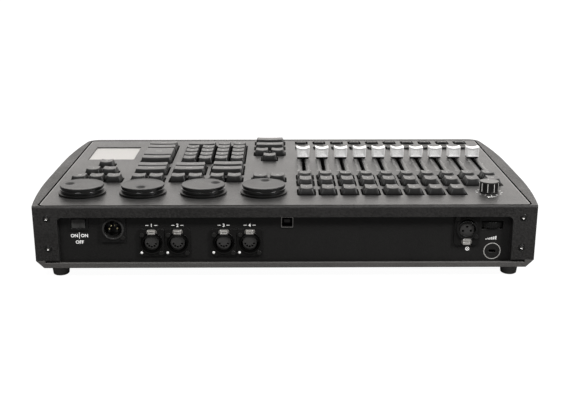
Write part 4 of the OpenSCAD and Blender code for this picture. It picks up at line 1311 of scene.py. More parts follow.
@dataclass
class FaderBank:
    """The ten silver fader caps, the black bands of painted shade round their slots and the printed scales."""

    solids: CadSolids
    count: int = 10
    plane: float = 0.8
    skirt_top: float = 2.6
    skirt_in: tuple[float, float] = (1.0, 1.6)
    skirt_up: float = 0.3
    carriage: float = 5.0
    lever_top: float = 1.2
    corner: float = 1.0
    inner_corner: float = 0.8
    sides: tuple[int, int] = (3, 14)
    scoop_r: float = 16.0
    scoop: float = 1.8
    waist: float = 0.93
    flare: float = 1.4
    panel_in: float = 1.3
    panel_deep: float = 0.7
    panel_run: float = 0.6
    rib_pitch: float = 0.95
    rib_deep: float = 0.3
    rise_span: tuple[float, float] = (0.02, 0.96)
    rise_steps: int = 40
    crown_in: float = 0.9
    crown_shares: Point = (0.75, 0.5, 0.25)
    travel: float = 60.0
    slot_w: float = 3.2
    slot_shade_size: tuple[float, float] = (4.6, 68.4)
    arc: int = 8
    ticks: int = 10
    long_every: int = 5
    tick_from: float = 4.2
    tick_long: float = 3.6
    tick_short: float = 2.4
    tick_half: float = 0.75

    def read(self, number: int) -> tuple[np.ndarray, np.ndarray]:
        """A cap's CAD points, and those of its foot.

        Args:
            number: Which fader, from 1.

        Returns:
            All the points, and the points at the height where the cap stands.
        """
        points = self.solids.of(f"fader_cap_{number}", FRAMES.deck())[0]
        return points, at_height(points, self.plane)

    def cap(self, number: int) -> bpy.types.Object:
        """Models one cap with its lever and carriage.

        Args:
            number: Which fader, from 1.

        Returns:
            The cap.
        """
        points, foot = self.read(number)
        low, high = points.min(0), points.max(0)
        size, mid = np.ptp(foot, axis=0)[:2], centre(foot)[:2]
        tall = high[2] - self.skirt_top
        mould = Mould(FRAMES.deck())

        def height(x: np.ndarray) -> np.ndarray:
            """How tall the silver part is at each x, under the scooped top.

            Args:
                x: The places across the cap.

            Returns:
                The heights.
            """
            off = np.clip(np.abs(x - mid[0]), 0, self.scoop_r)
            sag = self.scoop_r - self.scoop - np.sqrt(self.scoop_r ** 2 - off ** 2)
            return tall + np.minimum(sag, 0.0)

        def ring(share: float, shrink: float = 0.0, drop: float = 0.0) -> np.ndarray:
            """One ring of the silver part, its near and far faces recessed and ribbed.

            Args:
                share: How far up it is, from 0 to 1.
                shrink: How far inside the outline it is.
                drop: How far it is let down.

            Returns:
                The ring.
            """
            slim = np.array([self.waist + (1 - self.waist) * share ** self.flare, 1.0])
            outline = rounded(*(size * slim - 2 * shrink), self.corner, *self.sides)
            made = level(outline, 0.0, mid)
            dx, dy = made[:, 0] - mid[0], made[:, 1] - mid[1]
            up = share * height(made[:, 0])
            half = size * slim / 2 - self.panel_in
            bowl = np.clip(1 - (dx / half[0]) ** 4, 0, 1)
            inside = np.clip(min(up.max() - self.panel_in, tall - self.panel_in - up.max()),
                             0, self.panel_run)
            ribs = self.rib_deep * (0.5 - 0.5 * np.cos(up / self.rib_pitch * 2 * math.pi))
            face = np.abs(dy) > size[1] / 2 - shrink - 0.02
            deep = bowl * inside / self.panel_run * (self.panel_deep + ribs)
            made[:, 1] -= np.where(face, np.sign(dy) * deep, 0.0)
            made[:, 2] = self.skirt_top + up - drop
            return made

        skirt = size * (self.waist, 1.0) - self.skirt_in
        mould.loft([level(rounded(*skirt, self.inner_corner), z, mid)
                    for z in (self.plane, self.skirt_top + self.skirt_up)], 1)
        shares = np.linspace(*self.rise_span, self.rise_steps)
        rings = [ring(0.0, 0.5), ring(0.005, 0.15)] + [ring(s, 0.0) for s in shares]
        rings += [ring(1.0, 0.02, 0.3), ring(1.0, 0.15, 0.06), ring(1.0, self.crown_in / 2)]
        for part in self.crown_shares:
            inner = level(rounded(*((size - self.crown_in) * part), self.inner_corner,
                                  *self.sides), 0.0, mid)
            inner[:, 2] = self.skirt_top + height(inner[:, 0])
            rings.append(inner)
        mould.loft(rings, 0)
        below = points[points[:, 2] < self.plane - 0.1]
        lever = below[below[:, 2] > below[:, 2].min() + 1]
        mould.block((*lever.min(0)[:2], low[2] + self.carriage - 0.2),
                    (*lever.max(0)[:2], self.lever_top), edge=0.1, radius=0.3, paint=1)
        mould.block((*below.min(0)[:2], low[2]), (*below.max(0)[:2], low[2] + self.carriage),
                    edge=0.2, radius=0.4, paint=1)
        return place(mould.piece(f"fader_{number}_ribbed_cap", [Finishes.CAP, Finishes.JET]),
                     f"fader_{number}", "cap_plastic", f"fader_cap_{number}")

    def lay_slot_shade(self, mould: Mould, mid: np.ndarray) -> None:
        """Lays a thin black band, its inner edge chamfered, round one slot as painted shade of the slot.

        Args:
            mould: The mould of the slots' painted-shade bands.
            mid: The slot's middle.
        """
        wide, long = self.slot_shade_size
        span = long - wide
        rings = [level(rounded(w, w + span, w / 2, self.arc), z, mid) for w, z in (
            (wide, -0.05), (wide, 0.08), (wide - 0.2, 0.12), (self.slot_w + 0.2, 0.12),
            (self.slot_w + 0.02, -0.05), (wide, -0.05))]
        mould.loft(rings, 0, False, False)

    def build(self) -> None:
        """Models the whole bank."""
        slot_shades, scales = Mould(FRAMES.deck()), Mould(FRAMES.deck())
        for number in range(1, self.count + 1):
            self.cap(number)
            x, y = centre(self.read(number)[1])[:2]
            self.lay_slot_shade(slot_shades, np.array([x, y + self.travel / 2]))
            for k in range(self.ticks + 1):
                at = y + self.travel * k / self.ticks
                far = self.tick_from + (self.tick_short if k % self.long_every
                                        else self.tick_long)
                for side in (-1, 1):
                    a, b = sorted((x + side * self.tick_from, x + side * far))
                    Lettering.bar(scales, (a, at - self.tick_half), (b, at + self.tick_half))
        # Black bands that paint the shade round the slots.
        place(slot_shades.piece("fader_slot_liners", [Finishes.JET]), "desk",
              "connector_plastic")
        place(scales.piece("fader_scales", [Finishes.FAINT]), "desk", "deck_paint")


# ------------------------------------------------------------------ wheels and knob

@dataclass
class TurningControls:
    """The jog wheels, the knob with painted highlight streaks, its scale and the seal round the plate, which also
    paints shade and highlight.
    """

    solids: CadSolids
    wheels: int = 4
    steps: int = 96
    dimple_at: float = 13.4
    dimple_r: float = 5.3
    dimple_depth: float = 2.1
    dimple_lip: float = 0.25
    dimple_drop: float = 0.06
    pit_deep: float = 2.3
    flutes: int = 27
    flute_steps: int = 6
    # Upright bars on the knob's side that paint its highlight streaks.
    highlight_streaks: int = 9
    streak_half: float = 0.34
    streak_reach: tuple[float, float] = (9.2, 10.22)
    streak_foot: float = 2.0
    streak_top: float = 1.6
    pointer_half: float = 0.5
    pointer_reach: tuple[float, float] = (8.4, 3.0)
    stem_r: float = 3.0
    stem_foot: float = -10.0
    hollow: float = 4.5
    wall_out: float = 0.7
    flange: Pairs = ((-4.2, 4.5), (-4.0, 0.7), (-3.4, 0.6), (-0.3, 0.6), (-0.05, 0.75),
                       (0.0, 0.95), (0.0, 1.95), (-0.08, 2.15), (-0.3, 2.26))
    neck: Pairs = ((0.1, 2.6), (-0.45, 2.85))
    drum: Pairs = ((-0.5, 3.3), (-0.05, 3.6), (0.0, 3.9), (0.0, 5.9), (-0.1, 6.1),
                     (-0.5, 6.3), (-0.5, 6.6), (-0.2, 6.8), (-0.15, 9.1), (-0.3, 9.45))
    face_drop: float = 0.12
    face_in: float = 0.7
    face_shares: tuple[float, ...] = (0.25, 0.5, 0.75, 1.0)
    dimple_shares: tuple[float, ...] = (1.0, 0.9, 0.75, 0.55, 0.3, 0.1)
    # The seal's profile: the first bands paint the edge's highlight, and the rest are the black seal that also paints
    # the groove's shade.
    seal: Pairs = ((-3.2, -0.3), (-3.2, 0.03), (-1.9, 0.12), (-1.6, 0.1), (2.2, 0.1),
                     (2.5, 0.03), (2.5, -0.3), (-3.2, -0.3))
    seal_paints: tuple[int, ...] = (1, 1, 1, 0, 0, 0, 0, 0)
    seal_corner: float = 5.0
    scale_lines: int = 11
    scale_from: float = 225.0
    scale_step: float = 27.0
    scale_reach: tuple[float, float] = (12.2, 14.2)
    scale_half: float = 0.28
    ramp_bars: int = 6
    ramp_start: tuple[float, float] = (-4.4, 18.0)
    ramp_pitch: float = 1.7
    ramp_wide: float = 1.0
    ramp_first: float = 0.6
    ramp_rise: float = 0.55

    def middle(self, node: str) -> tuple[np.ndarray, np.ndarray]:
        """A control's points above the deck and their middle.

        Args:
            node: The control's CAD node.

        Returns:
            The points and the middle.
        """
        points = self.solids.of(node, FRAMES.deck())[0]
        disc = points[points[:, 2] > 0.5]
        return disc, centre(disc)

    def wheel(self, number: int) -> bpy.types.Object:
        """Models one jog wheel.

        Args:
            number: Which wheel, from 1.

        Returns:
            The wheel.
        """
        node = f"encoder_wheel_{number}"
        disc, mid = self.middle(node)
        reach = np.hypot(*(disc[:, :2] - mid[:2]).T)
        top, base = disc[:, 2].max(), reach.max()
        crown = reach[disc[:, 2] > top - NEAR].max()
        wall = crown + self.wall_out
        pit = disc[(disc[:, 2] > top - self.pit_deep) & (disc[:, 2] < top - 0.1)
                   & (reach < crown - 1)]
        turn = math.atan2(*(pit[:, :2].mean(0) - mid[:2])[::-1])
        mould = Mould(FRAMES.deck())
        foot = [(self.stem_r, self.stem_foot), (self.stem_r, self.hollow)]
        foot += [(base + r, z) for r, z in self.flange] + [(wall + r, z) for r, z in self.neck]
        drum = [(wall + r, z) for r, z in self.drum]
        mould.lathe(foot + drum, self.steps, (mid[0], mid[1], 0),
                    [2] * len(foot) + [0] * len(drum), high=False)
        face, shoulder = top - self.face_drop, drum[-1][1]
        rings = [level(circle(r, self.steps), z, mid[:2])
                 for r, z in ((drum[-1][0], shoulder), (wall - 0.4, shoulder + 0.3),
                              (crown, top - 0.03), (crown - 0.4, top - 0.02),
                              (crown - self.face_in, face))]
        spot = mid[:2] + self.dimple_at * np.array([math.cos(turn), math.sin(turn)])
        outer = circle(crown - self.face_in, self.steps)
        inner = circle(self.dimple_r + self.dimple_lip, self.steps)
        for share in self.face_shares:
            flat = (outer + mid[:2]) * (1 - share) + (inner + spot) * share
            rings.append(np.column_stack([flat, np.full(self.steps, face)]))
        ball = (self.dimple_r ** 2 + self.dimple_depth ** 2) / (2 * self.dimple_depth)
        for r in self.dimple_r * np.array(self.dimple_shares):
            sag = math.sqrt(ball ** 2 - r ** 2) - (ball - self.dimple_depth)
            rings.append(level(circle(r, self.steps), face - self.dimple_drop - sag, spot))
        mould.loft(rings, 1, low=False)
        return place(mould.piece(f"jog_wheel_{number}", [
            Finishes.GLOSS, Finishes.WHEEL_TOP, Finishes.SATIN]),
                     f"wheel_{number}", "gloss_plastic", node)

    def knob(self) -> bpy.types.Object:
        """Models the fluted master knob with its silver top, its pointer and upright bars that paint highlight streaks
        on its side.

        Returns:
            The knob.
        """
        disc, mid = self.middle("master_knob")
        top = disc[:, 2].max()
        steps = self.flutes * self.flute_steps
        turns = np.linspace(0, 2 * math.pi, steps, endpoint=False)
        wave = 0.5 - 0.5 * np.cos(turns * self.flutes)
        mould = Mould(FRAMES.deck())

        def ring(r: float, z: float, flute: float = 0.0) -> np.ndarray:
            """One ring with flutes of a depth."""
            return level(circle(1.0, steps) * (r - flute * wave)[:, None], z, mid[:2])

        skirt = [ring(self.stem_r, self.stem_foot), ring(self.stem_r, self.hollow),
                 ring(7.4, self.hollow), ring(7.8, 0.7), ring(10.1, 0.6), ring(10.35, 0.85)]
        side = [ring(10.3, 1.4, 0.1), ring(10.25, 1.8, 0.7), ring(10.05, top - 1.5, 0.6),
                ring(10.0, top - 1.1, 0.1), ring(9.9, top - 0.95)]
        mould.loft(skirt + side, [0] * len(skirt) + [2] * len(side), high=False)
        mould.loft([ring(9.9, top - 0.95), ring(9.95, top - 0.8), ring(9.9, top - 0.35),
                    ring(9.65, top - 0.1), ring(9.2, top - 0.02), ring(8.9, top - 0.12),
                    ring(6.0, top - 0.14), ring(3.0, top - 0.15)], 1, low=False)
        # Upright silver bars that paint the highlight streaks of the flutes.
        for k in range(self.highlight_streaks):
            turn = math.pi / 2 + (k + 0.5) * 2 * math.pi / self.highlight_streaks
            flat = spoke(mid[:2], turn, *self.streak_reach, self.streak_half)
            mould.loft([level(flat, z) for z in (self.streak_foot, top - self.streak_top)], 3)
        half, (far, near) = self.pointer_half, self.pointer_reach
        mould.block((mid[0] - half, mid[1] - far, top - 0.4),
                    (mid[0] + half, mid[1] - near, top - 0.05), edge=0.05, radius=0.2)
        return place(mould.piece("master_knob_fluted", [Finishes.GLOSS, Finishes.BRUSHED,
                                                       Finishes.KNURL, Finishes.INLAY]),
                     "knob", "gloss_plastic", "master_knob")

    def scale(self) -> bpy.types.Object:
        """Prints the ring of short lines round the knob and a rising row of bars below it.

        Returns:
            The printed scale.
        """
        mid = self.middle("master_knob")[1][:2]
        mould = Mould(FRAMES.deck())
        for k in range(self.scale_lines):
            turn = math.radians(self.scale_from - self.scale_step * k)
            flat = spoke(mid, turn, *self.scale_reach, self.scale_half)
            mould.loft([level(flat, -Lettering.sunk), level(flat, Lettering.rise)])
        x, y = mid + self.ramp_start
        for k in range(self.ramp_bars):
            left, tall = x + self.ramp_pitch * k, self.ramp_first + self.ramp_rise * k
            Lettering.bar(mould, (left, y), (left + self.ramp_wide, y + tall))
        return place(mould.piece("knob_scale", [Finishes.PRINT]), "desk", "deck_paint")

    def seam(self) -> bpy.types.Object:
        """Lays the black seal in the groove round the control plate, black also as painted shade of the groove, with a
        light band of painted highlight on the plate's edge.

        Returns:
            The seal.
        """
        face = at_height(self.solids.of("control_plate", FRAMES.deck())[0], 0.0, FLAT)
        size, mid = np.ptp(face, axis=0)[:2], centre(face)[:2]
        mould = Mould(FRAMES.deck())
        rings = [level(rounded(*(size + grow), self.seal_corner + grow / 2, 8), z, mid)
                 for grow, z in self.seal]
        mould.loft(rings, list(self.seal_paints), False, False)
        return place(mould.piece("plate_seam_seal", [Finishes.JET, Finishes.CHAMFER]), "desk",
                     "rubber")

    def build(self) -> None:
        """Models the wheels, the knob, its scale and the plate's seal with its painted shade and highlight."""
        for number in range(1, self.wheels + 1):
            self.wheel(number)
        self.knob()
        self.scale()
        self.seam()


# ------------------------------------------------------------------ image points

class PointReport:
    """Places things by image points and says how far each shows from its point."""

    near_from = 0.5
    near_step = 0.01
    near_tries = 200
    rim_pixels = 3
    skin = 0.0006

    def __init__(self, camera: bpy.types.Object) -> None:
        """Keeps the camera."""
        self.camera = camera

    def ray(self, x: float, y: float) -> tuple[Vector, Vector]:
        """The ray through an image point.

        Args:
            x: The point's x in pixels.
            y: The point's y in pixels.

        Returns:
            Its start and its direction in the row frame.
        """
        data, long = self.camera.data, max(FRAME_W, FRAME_H)
        way = Vector((x - FRAME_W / 2 + data.shift_x * long,
                      FRAME_H / 2 - y + data.shift_y * long,
                      -long * data.lens / data.sensor_width))
        world = self.camera.matrix_world
        return world.translation.copy(), (world.to_3x3() @ way).normalized()

    def shown(self, points: np.ndarray) -> np.ndarray:
        """The pixels where places in the row frame show.

        Args:
            points: The places, one in each row.

        Returns:
            Their x and y in pixels, one pair in each row.
        """
        data, long = self.camera.data, max(FRAME_W, FRAME_H)
        back = np.array(self.camera.matrix_world.inverted())
        p = points @ back[:3, :3].T + back[:3, 3]
        k = long * data.lens / data.sensor_width / -p[:, 2]
        return np.column_stack([p[:, 0] * k + FRAME_W / 2 - data.shift_x * long,
                                FRAME_H / 2 - p[:, 1] * k + data.shift_y * long])

    def hit(self, tree: BVHTree, x: float, y: float) -> Vector:
        """Where an image point lies on a carrier.

        Args:
            tree: The carrier's finished faces.
            x: The point's x.
            y: The point's y.

        Returns:
            The place that the ray meets, or the place nearest the ray.
        """
        start, way = self.ray(x, y)
        found = tree.ray_cast(start, way)[0]
        if found is not None:
            return found
        nearest = (tree.find_nearest(start + way * (self.near_from + self.near_step * k))
                   for k in range(self.near_tries))
        return min((n for n in nearest if n[0] is not None), key=lambda n: n[3])[0]

    @staticmethod
    def tree_of(piece: bpy.types.Object) -> BVHTree:
        """The faces of one piece, as placed, for rays.

        Args:
            piece: The piece.

        Returns:
            The tree of its faces.
        """
        world = piece.matrix_world
        return BVHTree.FromPolygons([world @ v.co for v in piece.data.vertices],
                                    [tuple(p.vertices) for p in piece.data.polygons])

    def seen(self, pieces: list[bpy.types.Object]) -> np.ndarray:
        """The pixels of the pieces' vertices that the camera sees.

        Args:
            pieces: The pieces that make up the object.

        Returns:
            Their x and y in pixels, one pair in each row.
        """
        graph = bpy.context.evaluated_depsgraph_get()
        start, kept = self.camera.matrix_world.translation, []
        for piece in pieces:
            world = piece.matrix_world
            places = [world @ v.co for v in piece.data.vertices]
            flat = self.shown(np.array(places))
            rim = np.zeros(len(flat), bool)
            for axis in (0, 1):
                rim |= flat[:, axis] < flat[:, axis].min() + self.rim_pixels
                rim |= flat[:, axis] > flat[:, axis].max() - self.rim_pixels
            for k in np.flatnonzero(rim):
                way = places[k] - start
                found = bpy.context.scene.ray_cast(graph, start, way.normalized())
                if not found[0] or (found[1] - start).length > way.length - self.skin:
                    kept.append(flat[k])
        return np.array(kept)

    def write(self, marks: dict[str, list[Vector]], outer: list[str], path: str) -> None:
        """Writes how far in x and y each thing shows from its image point.

        Args:
            marks: For each image point, the places whose middle shows it.
            outer: The pieces that reach the object's edges.
            path: The file.
        """
        rows: dict[str, list[float]] = {}
        try:
            flat = self.seen([bpy.data.objects[name] for name in outer])
            spans = {"left": flat[:, 0].min(), "right": flat[:, 0].max(),
                     "top": flat[:, 1].min(), "bottom": flat[:, 1].max()}
            rows = {name: [round(float(at - IMAGE_EDGES[name]), 2)] for name, at in spans.items()}
            for name, places in marks.items():
                at = self.shown(np.array(places)).mean(0)
                rows[name] = [round(float(v), 2) for v in at - IMAGE_POINTS[name]]
        except (KeyError, ValueError, IndexError) as problem:
            LOG.warning("points: %s", problem)
        with open(path, "w") as out:
            json.dump(rows, out)


# ------------------------------------------------------------------ rear bay

@dataclass(frozen=True)
class Collar:
    """A ring on a flange: its inner and outer radius and how far it stands out."""

    inner: float
    outer: float
    rise: float


@dataclass
class RearBay:
    """The connectors' small parts, the switch, the dimmer wheel and the printing."""

    solids: CadSolids
    letters: Lettering
    points: PointReport
    panel: bpy.types.Object
    teeth: int = 44
    figure_tall: float = 3.5
    leg_face: float = 7.5
    flange_face: float = 2.9
    plate_face: float = 2.0
    ring_steps: int = 64
    insert_steps: int = 56
    hole_steps: int = 20
    pin_steps: int = 16
    power_ring: Collar = Collar(9.2, 11.2, 1.1)
    power_pins: Pairs = ((-2.1, 3.1), (2.0, 3.7), (-3.9, -0.2), (4.2, 0.3))
    pin: Pairs = ((0.7, -6.0), (0.75, -5.6), (0.75, -1.2), (0.8, -1.1), (0.8, -0.2),
                    (0.6, 0.3), (0.3, 0.5))
    # The pins' lower bands take the black of painted shade deep in the inlet.
    pin_paints: tuple[int, ...] = (1, 1, 1, 0, 0, 0, 0)
    data_sockets: int = 4
    data_insert: Pairs = ((7.5, -3.0), (7.5, 0.9), (7.2, 1.2), (6.6, 1.3), (2.0, 1.3))
    data_lip: Collar = Collar(9.0, 10.95, 0.3)
    data_seat: Collar = Collar(10.9, 11.3, 0.2)
    data_hole: tuple[float, float] = (1.1, 1.0)
    data_holes: int = 5
    data_ring: float = 4.6
    data_from: float = 198.0
    data_step: float = 36.0
    lamp_insert: Pairs = ((7.8, -3.0), (7.8, 1.0), (7.4, 1.3), (2.0, 1.3))
    lamp_lip: Collar = Collar(9.0, 10.3, 0.35)
    lamp_hole: tuple[float, float] = (1.25, 1.1)
    lamp_holes: Pairs = ((-4.1, -0.5), (4.1, -0.5), (0.0, 3.9))
    port_rim: tuple[Point, ...] = (
        (0.5, 1.0, -0.8), (0.5, 1.0, 0.25), (0.2, 0.9, 0.45), (-0.9, 0.6, 0.45),
        (-1.2, 0.5, 0.2), (-1.2, 0.5, -0.8), (0.5, 1.0, -0.8))
    tongue_share: float = 0.26
    tongue_long: float = 6.0
    tongue_in: float = 0.6
    lock_ring: Collar = Collar(8.0, 8.9, 0.25)
    lens: Pairs = ((0.84, -0.3), (0.84, 0.02), (0.72, 0.25), (0.5, 0.42), (0.2, 0.5))
    lens_steps: int = 28
    head: Pairs = ((0.93, 0.25), (0.7, 0.5), (0.44, 0.62), (0.34, 0.3), (0.2, 0.12),
                   (0.05, 0.1))
    # The recess bands take bright steel, a painted glint on the black head.
    head_paints: tuple[int, ...] = (0, 0, 0, 0, 1, 1, 1, 1)
    head_over: float = 0.05
    head_steps: int = 32
    knurl_pitch: float = 1.1
    knurl_half: float = 0.36
    knurl_room: float = 2.6
    knurl_in: float = 0.75
    knurl_gap: float = 0.22
    knurl_tall: float = 0.8
    rocker_half: float = 4.8
    rocker_steps: int = 25
    rocker_dip: float = 1.35
    rocker_bend: float = 1.3
    rocker_lip: float = 0.3
    rocker_lip_bend: int = 14
    rocker_foot: float = 0.88
    rocker_ends: Pairs = ((0.45, 0.0), (0.12, 0.12), (0.0, 0.5))
    axle: Pairs = ((0.75, -5.4), (0.95, -5.2), (0.95, 5.2), (0.75, 5.4))
    axle_deep: float = 1.5
    dimmer_hub: float = 4.0
    dimmer_tooth: float = 0.55
    on_apart: float = 5.2
    on_bar: tuple[float, float] = (0.5, 6.8)
    off_below: float = 7.0
    dash_at: float = 4.6
    dash: tuple[float, float] = (3.2, 0.55)
    ramp_bars: int = 6
    ramp_from: tuple[float, float] = (-5.0, -2.0)
    ramp_pitch: float = 2.0
    ramp_wide: float = 0.9
    ramp_first: float = 1.0
    ramp_rise: float = 0.55
    bulb_ring: Pairs = ((2.1, -0.1), (2.1, 0.05), (1.6, 0.05), (1.6, -0.1), (2.1, -0.1))
    bulb_steps: int = 40
    bulb_turns: tuple[float, float] = (45, 135)
    bulb_bar: Point = (-1.7, 1.7, 0.22)
    signs: dict[str, list[Vector]] = field(default_factory=dict)

    def middle(self, node: str, which: int = 0) -> np.ndarray:
        """The middle of a node's solid in the panel frame.

        Args:
            node: The CAD node.
            which: Which of its solids, from the left.

        Returns:
            Its x, y, z.
        """
        return centre(self.solids.of(node, FRAMES.panel())[which])

    def pointed(self, name: str) -> np.ndarray:
        """Where an image point lies on the rear panel, as x and y of its frame."""
        found = self.points.hit(PointReport.tree_of(self.panel), *IMAGE_POINTS[name])
        return np.array(FRAMES.panel().inverted() @ found)[:2]

    def collar(self, mould: Mould, at: np.ndarray, z: float, ring: Collar,
               paint: int = 0) -> None:
        """Turns one closed ring that stands on a flange.

        Args:
            mould: The ring's mould.
            at: Its middle.
            z: The face that it stands on.
            ring: Its radii and its height.
            paint: The finish.
        """
        inner, outer, rise = ring.inner, ring.outer, ring.rise
        profile = [(inner, z - 0.3), (outer, z - 0.3), (outer, z + rise * 0.5),
                   (outer - 0.15, z + rise * 0.85), (outer - 0.4, z + rise),
                   (inner + 0.3, z + rise), (inner + 0.05, z + rise * 0.8), (inner, z - 0.3)]
        mould.lathe(profile, self.ring_steps, (at[0], at[1], 0), paint, False, False)

    def hole(self, mould: Mould, at: np.ndarray, r: float, lip: float) -> None:
        """Turns a jet-black disc on the insert's face that paints the shade of one contact hole.

        Args:
            mould: The inserts' mould.
            at: Its middle.
            r: Its radius.
            lip: The radius of its upper edge.
        """
        mould.lathe([(r, 0.6), (r, 1.36), (lip, 1.42), (0.5, 1.42)], self.hole_steps,
                    (*at[:2], 0), 2)

    def round_sockets(self) -> None:
        """Adds the collars, inserts and contacts of the round sockets."""
        dark, grey = Mould(FRAMES.panel()), Mould(FRAMES.panel())
        gold = Mould(FRAMES.panel())
        power = self.middle("power_inlet")
        self.collar(grey, power, self.plate_face, self.power_ring)
        for way in self.power_pins:
            gold.lathe(self.pin, self.pin_steps, (*(power[:2] + way), 0),
                       list(self.pin_paints))
        for points in self.solids.of("dmx_sockets", FRAMES.panel()):
            at = centre(points)
            self.collar(dark, at, self.flange_face, self.data_lip, 2)
            self.collar(dark, at, self.plate_face, self.data_seat)
            dark.lathe(self.data_insert, self.insert_steps, (at[0], at[1], 0), 1)
            for k in range(self.data_holes):
                turn = math.radians(self.data_from + self.data_step * k)
                way = self.data_ring * np.array([math.cos(turn), math.sin(turn)])
                self.hole(dark, at[:2] + way, *self.data_hole)
        lamp = self.middle("lamp_socket")
        self.collar(dark, lamp, self.flange_face, self.lamp_lip)
        dark.lathe(self.lamp_insert, self.insert_steps, (lamp[0], lamp[1], 0), 1)
        for way in self.lamp_holes:
            self.hole(dark, lamp[:2] + way, *self.lamp_hole)
        finishes = [Finishes.BLACK, Finishes.INSERT, Finishes.JET]
        place(dark.piece("socket_rings_and_inserts", finishes), "desk", "connector_plastic")
        place(grey.piece("power_collar", [Finishes.COLLAR]), "desk", "connector_plastic")
        place(gold.piece("power_contacts", [Finishes.GOLD, Finishes.WELL]), "desk", "steel")

    def small_fronts(self) -> None:
        """Adds the port's bright rim and tongue, the lock's ring and the light lenses."""
        bright, dark = Mould(FRAMES.panel()), Mould(FRAMES.panel())
        points = self.solids.of("usb_port", FRAMES.panel())[0]
        z = points[:, 2].max()
        mouth = at_height(points, z, SKIN)
        mid, size = centre(mouth)[:2], np.ptp(mouth, axis=0)[:2]
        rings = [level(rounded(*(size + grow), radius), z + up, mid)
                 for grow, radius, up in self.port_rim]
        bright.loft(rings, 0, False, False)
        wide, tall = size * self.tongue_share
        dark.block((mid[0] - wide, mid[1] - 0.2, z - self.tongue_long),
                   (mid[0] + wide, mid[1] + tall, z - self.tongue_in), edge=0.2, radius=0.2)
        self.collar(bright, self.middle("lock_plate"), 0.0, self.lock_ring, 1)
        for points in self.solids.of("status_lights", FRAMES.panel()):
            at, r, top = centre(points), np.ptp(points[:, 0]) / 2, points[:, 2].max()
            bright.lathe([(r * share, top + up) for share, up in self.lens],
                         self.lens_steps, (at[0], at[1], 0), 2)
        place(bright.piece("bay_bright_trim", [Finishes.STEEL, Finishes.SILVER_INK,
                                               Finishes.LIGHT]), "desk", "steel")
        place(dark.piece("port_tongue", [Finishes.INSERT]), "desk", "connector_plastic")

    def latch(self, node: str, body: str) -> bpy.types.Object:
        """Models one release tab with two rows of knurls, its body in a darker copy of the nickel that paints the
        shade between them.

        Args:
            node: Its CAD node.
            body: Its body.

        Returns:
            The tab.
        """
        points = self.solids.of(node, FRAMES.panel())[0]
        low, high = points.min(0), points.max(0)
        mid, size = centre(points)[:2], (high - low)[:2]
        mould = Mould(FRAMES.panel())
        # The tab's body takes the darker painted-shade copy of the nickel, and the knurls take the bright one.
        mould.loft([level(rounded(*(size - grow), size[1] / 2, 8), z, mid) for grow, z in (
            (0.2, low[2]), (0.0, low[2] + 0.3), (0.0, high[2] - 0.9), (0.35, high[2] - 0.72),
            (0.9, high[2] - 0.65))], 1)
        count = int((size[0] - self.knurl_room) / self.knurl_pitch)
        reach = size[1] / 2 - self.knurl_in
        for k in range(count):
            x = mid[0] + (k - (count - 1) / 2) * self.knurl_pitch
            for side in (-1, 1):
                a, b = sorted((mid[1] + side * self.knurl_gap, mid[1] + side * reach))
                mould.block((x - self.knurl_half, a, high[2] - self.knurl_tall),
                            (x + self.knurl_half, b, high[2]), edge=0.16, radius=0.1)
        return place(mould.piece(node + "_knurled", [Finishes.LATCH, Finishes.LATCH_BED]),
                     body, "steel", node)

    def rocker(self) -> bpy.types.Object:
        """Models the switch's paddle and its axle.

        Returns:
            The paddle.
        """
        points = self.solids.of("rocker", FRAMES.panel())[0]
        low, high, mid = points.min(0), points.max(0), centre(points)
        half, tall = (high[0] - low[0]) / 2, self.rocker_half
        mould = Mould(FRAMES.panel())
        top = [(mid[0] + half * u, high[2] - self.rocker_dip * (1 - abs(u)) ** self.rocker_bend
                - self.rocker_lip * abs(u) ** self.rocker_lip_bend)
               for u in np.linspace(-1, 1, self.rocker_steps)]
        foot = half * self.rocker_foot
        floor = [(mid[0] + foot, low[2]), (mid[0] - foot, low[2])]
        section = np.array(top + floor)
        n = len(section)
        rings = []
        ends = [(inset, tall - back) for inset, back in self.rocker_ends]
        for inset, y in [(inset, -y) for inset, y in ends] + ends[::-1]:
            small = section.copy()
            small[:n - 2, 1] -= inset
            rings.append(np.column_stack([small[:, 0], np.full(n, mid[1] + y), small[:, 1]]))
        mould.loft(rings)
        turns = circle(1.0, self.hole_steps)
        mould.loft([np.column_stack([mid[0] + turns[:, 0] * r, np.full(len(turns), mid[1] + y),
                                     turns[:, 1] * r - self.axle_deep])
                    for r, y in self.axle])
        return place(mould.piece("rocker_paddle", [Finishes.ROCKER]), "power_rocker",
                     "connector_plastic", "rocker")

    def dimmer(self) -> bpy.types.Object:
        """Models the lamp's ribbed dimmer wheel.

        Returns:
            The wheel.
        """
        points = self.solids.of("dimmer_wheel", FRAMES.panel())[0]
        mid, (radius, hub) = centre(points), np.ptp(points, axis=0)[:2] / 2
        disc = points[np.hypot(points[:, 0] - mid[0], points[:, 2] - mid[2]) > radius - 0.2]
        thick = np.ptp(disc[:, 1]) / 2
        turned = Matrix.Translation(mid) @ Matrix.Rotation(math.pi / 2, 4, "X")
        mould = Mould(FRAMES.panel() @ turned)
        steps = self.teeth * 4
        wave = np.tile([0.0, 0.0, self.dimmer_tooth, self.dimmer_tooth], self.teeth)

        def ring(r: float, z: float, tooth: float) -> np.ndarray:
            """One ring with teeth of a depth."""
            return level(circle(1.0, steps) * (r - tooth * wave)[:, None], z)

        bore = self.dimmer_hub
        mould.loft([ring(bore, -hub, 0), ring(bore, -thick, 0), ring(radius - 1.2, -thick, 0),
                    ring(radius - 0.3, -thick + 0.7, 0.6), ring(radius, -thick + 1.2, 1),
                    ring(radius, thick - 1.2, 1), ring(radius - 0.3, thick - 0.7, 0.6),
                    ring(radius - 1.2, thick, 0), ring(bore, thick, 0), ring(bore, hub, 0)])
        return place(mould.piece("dimmer_ribbed_wheel", [Finishes.BLACK]), "lamp_dimmer",
                     "connector_plastic", "dimmer_wheel")

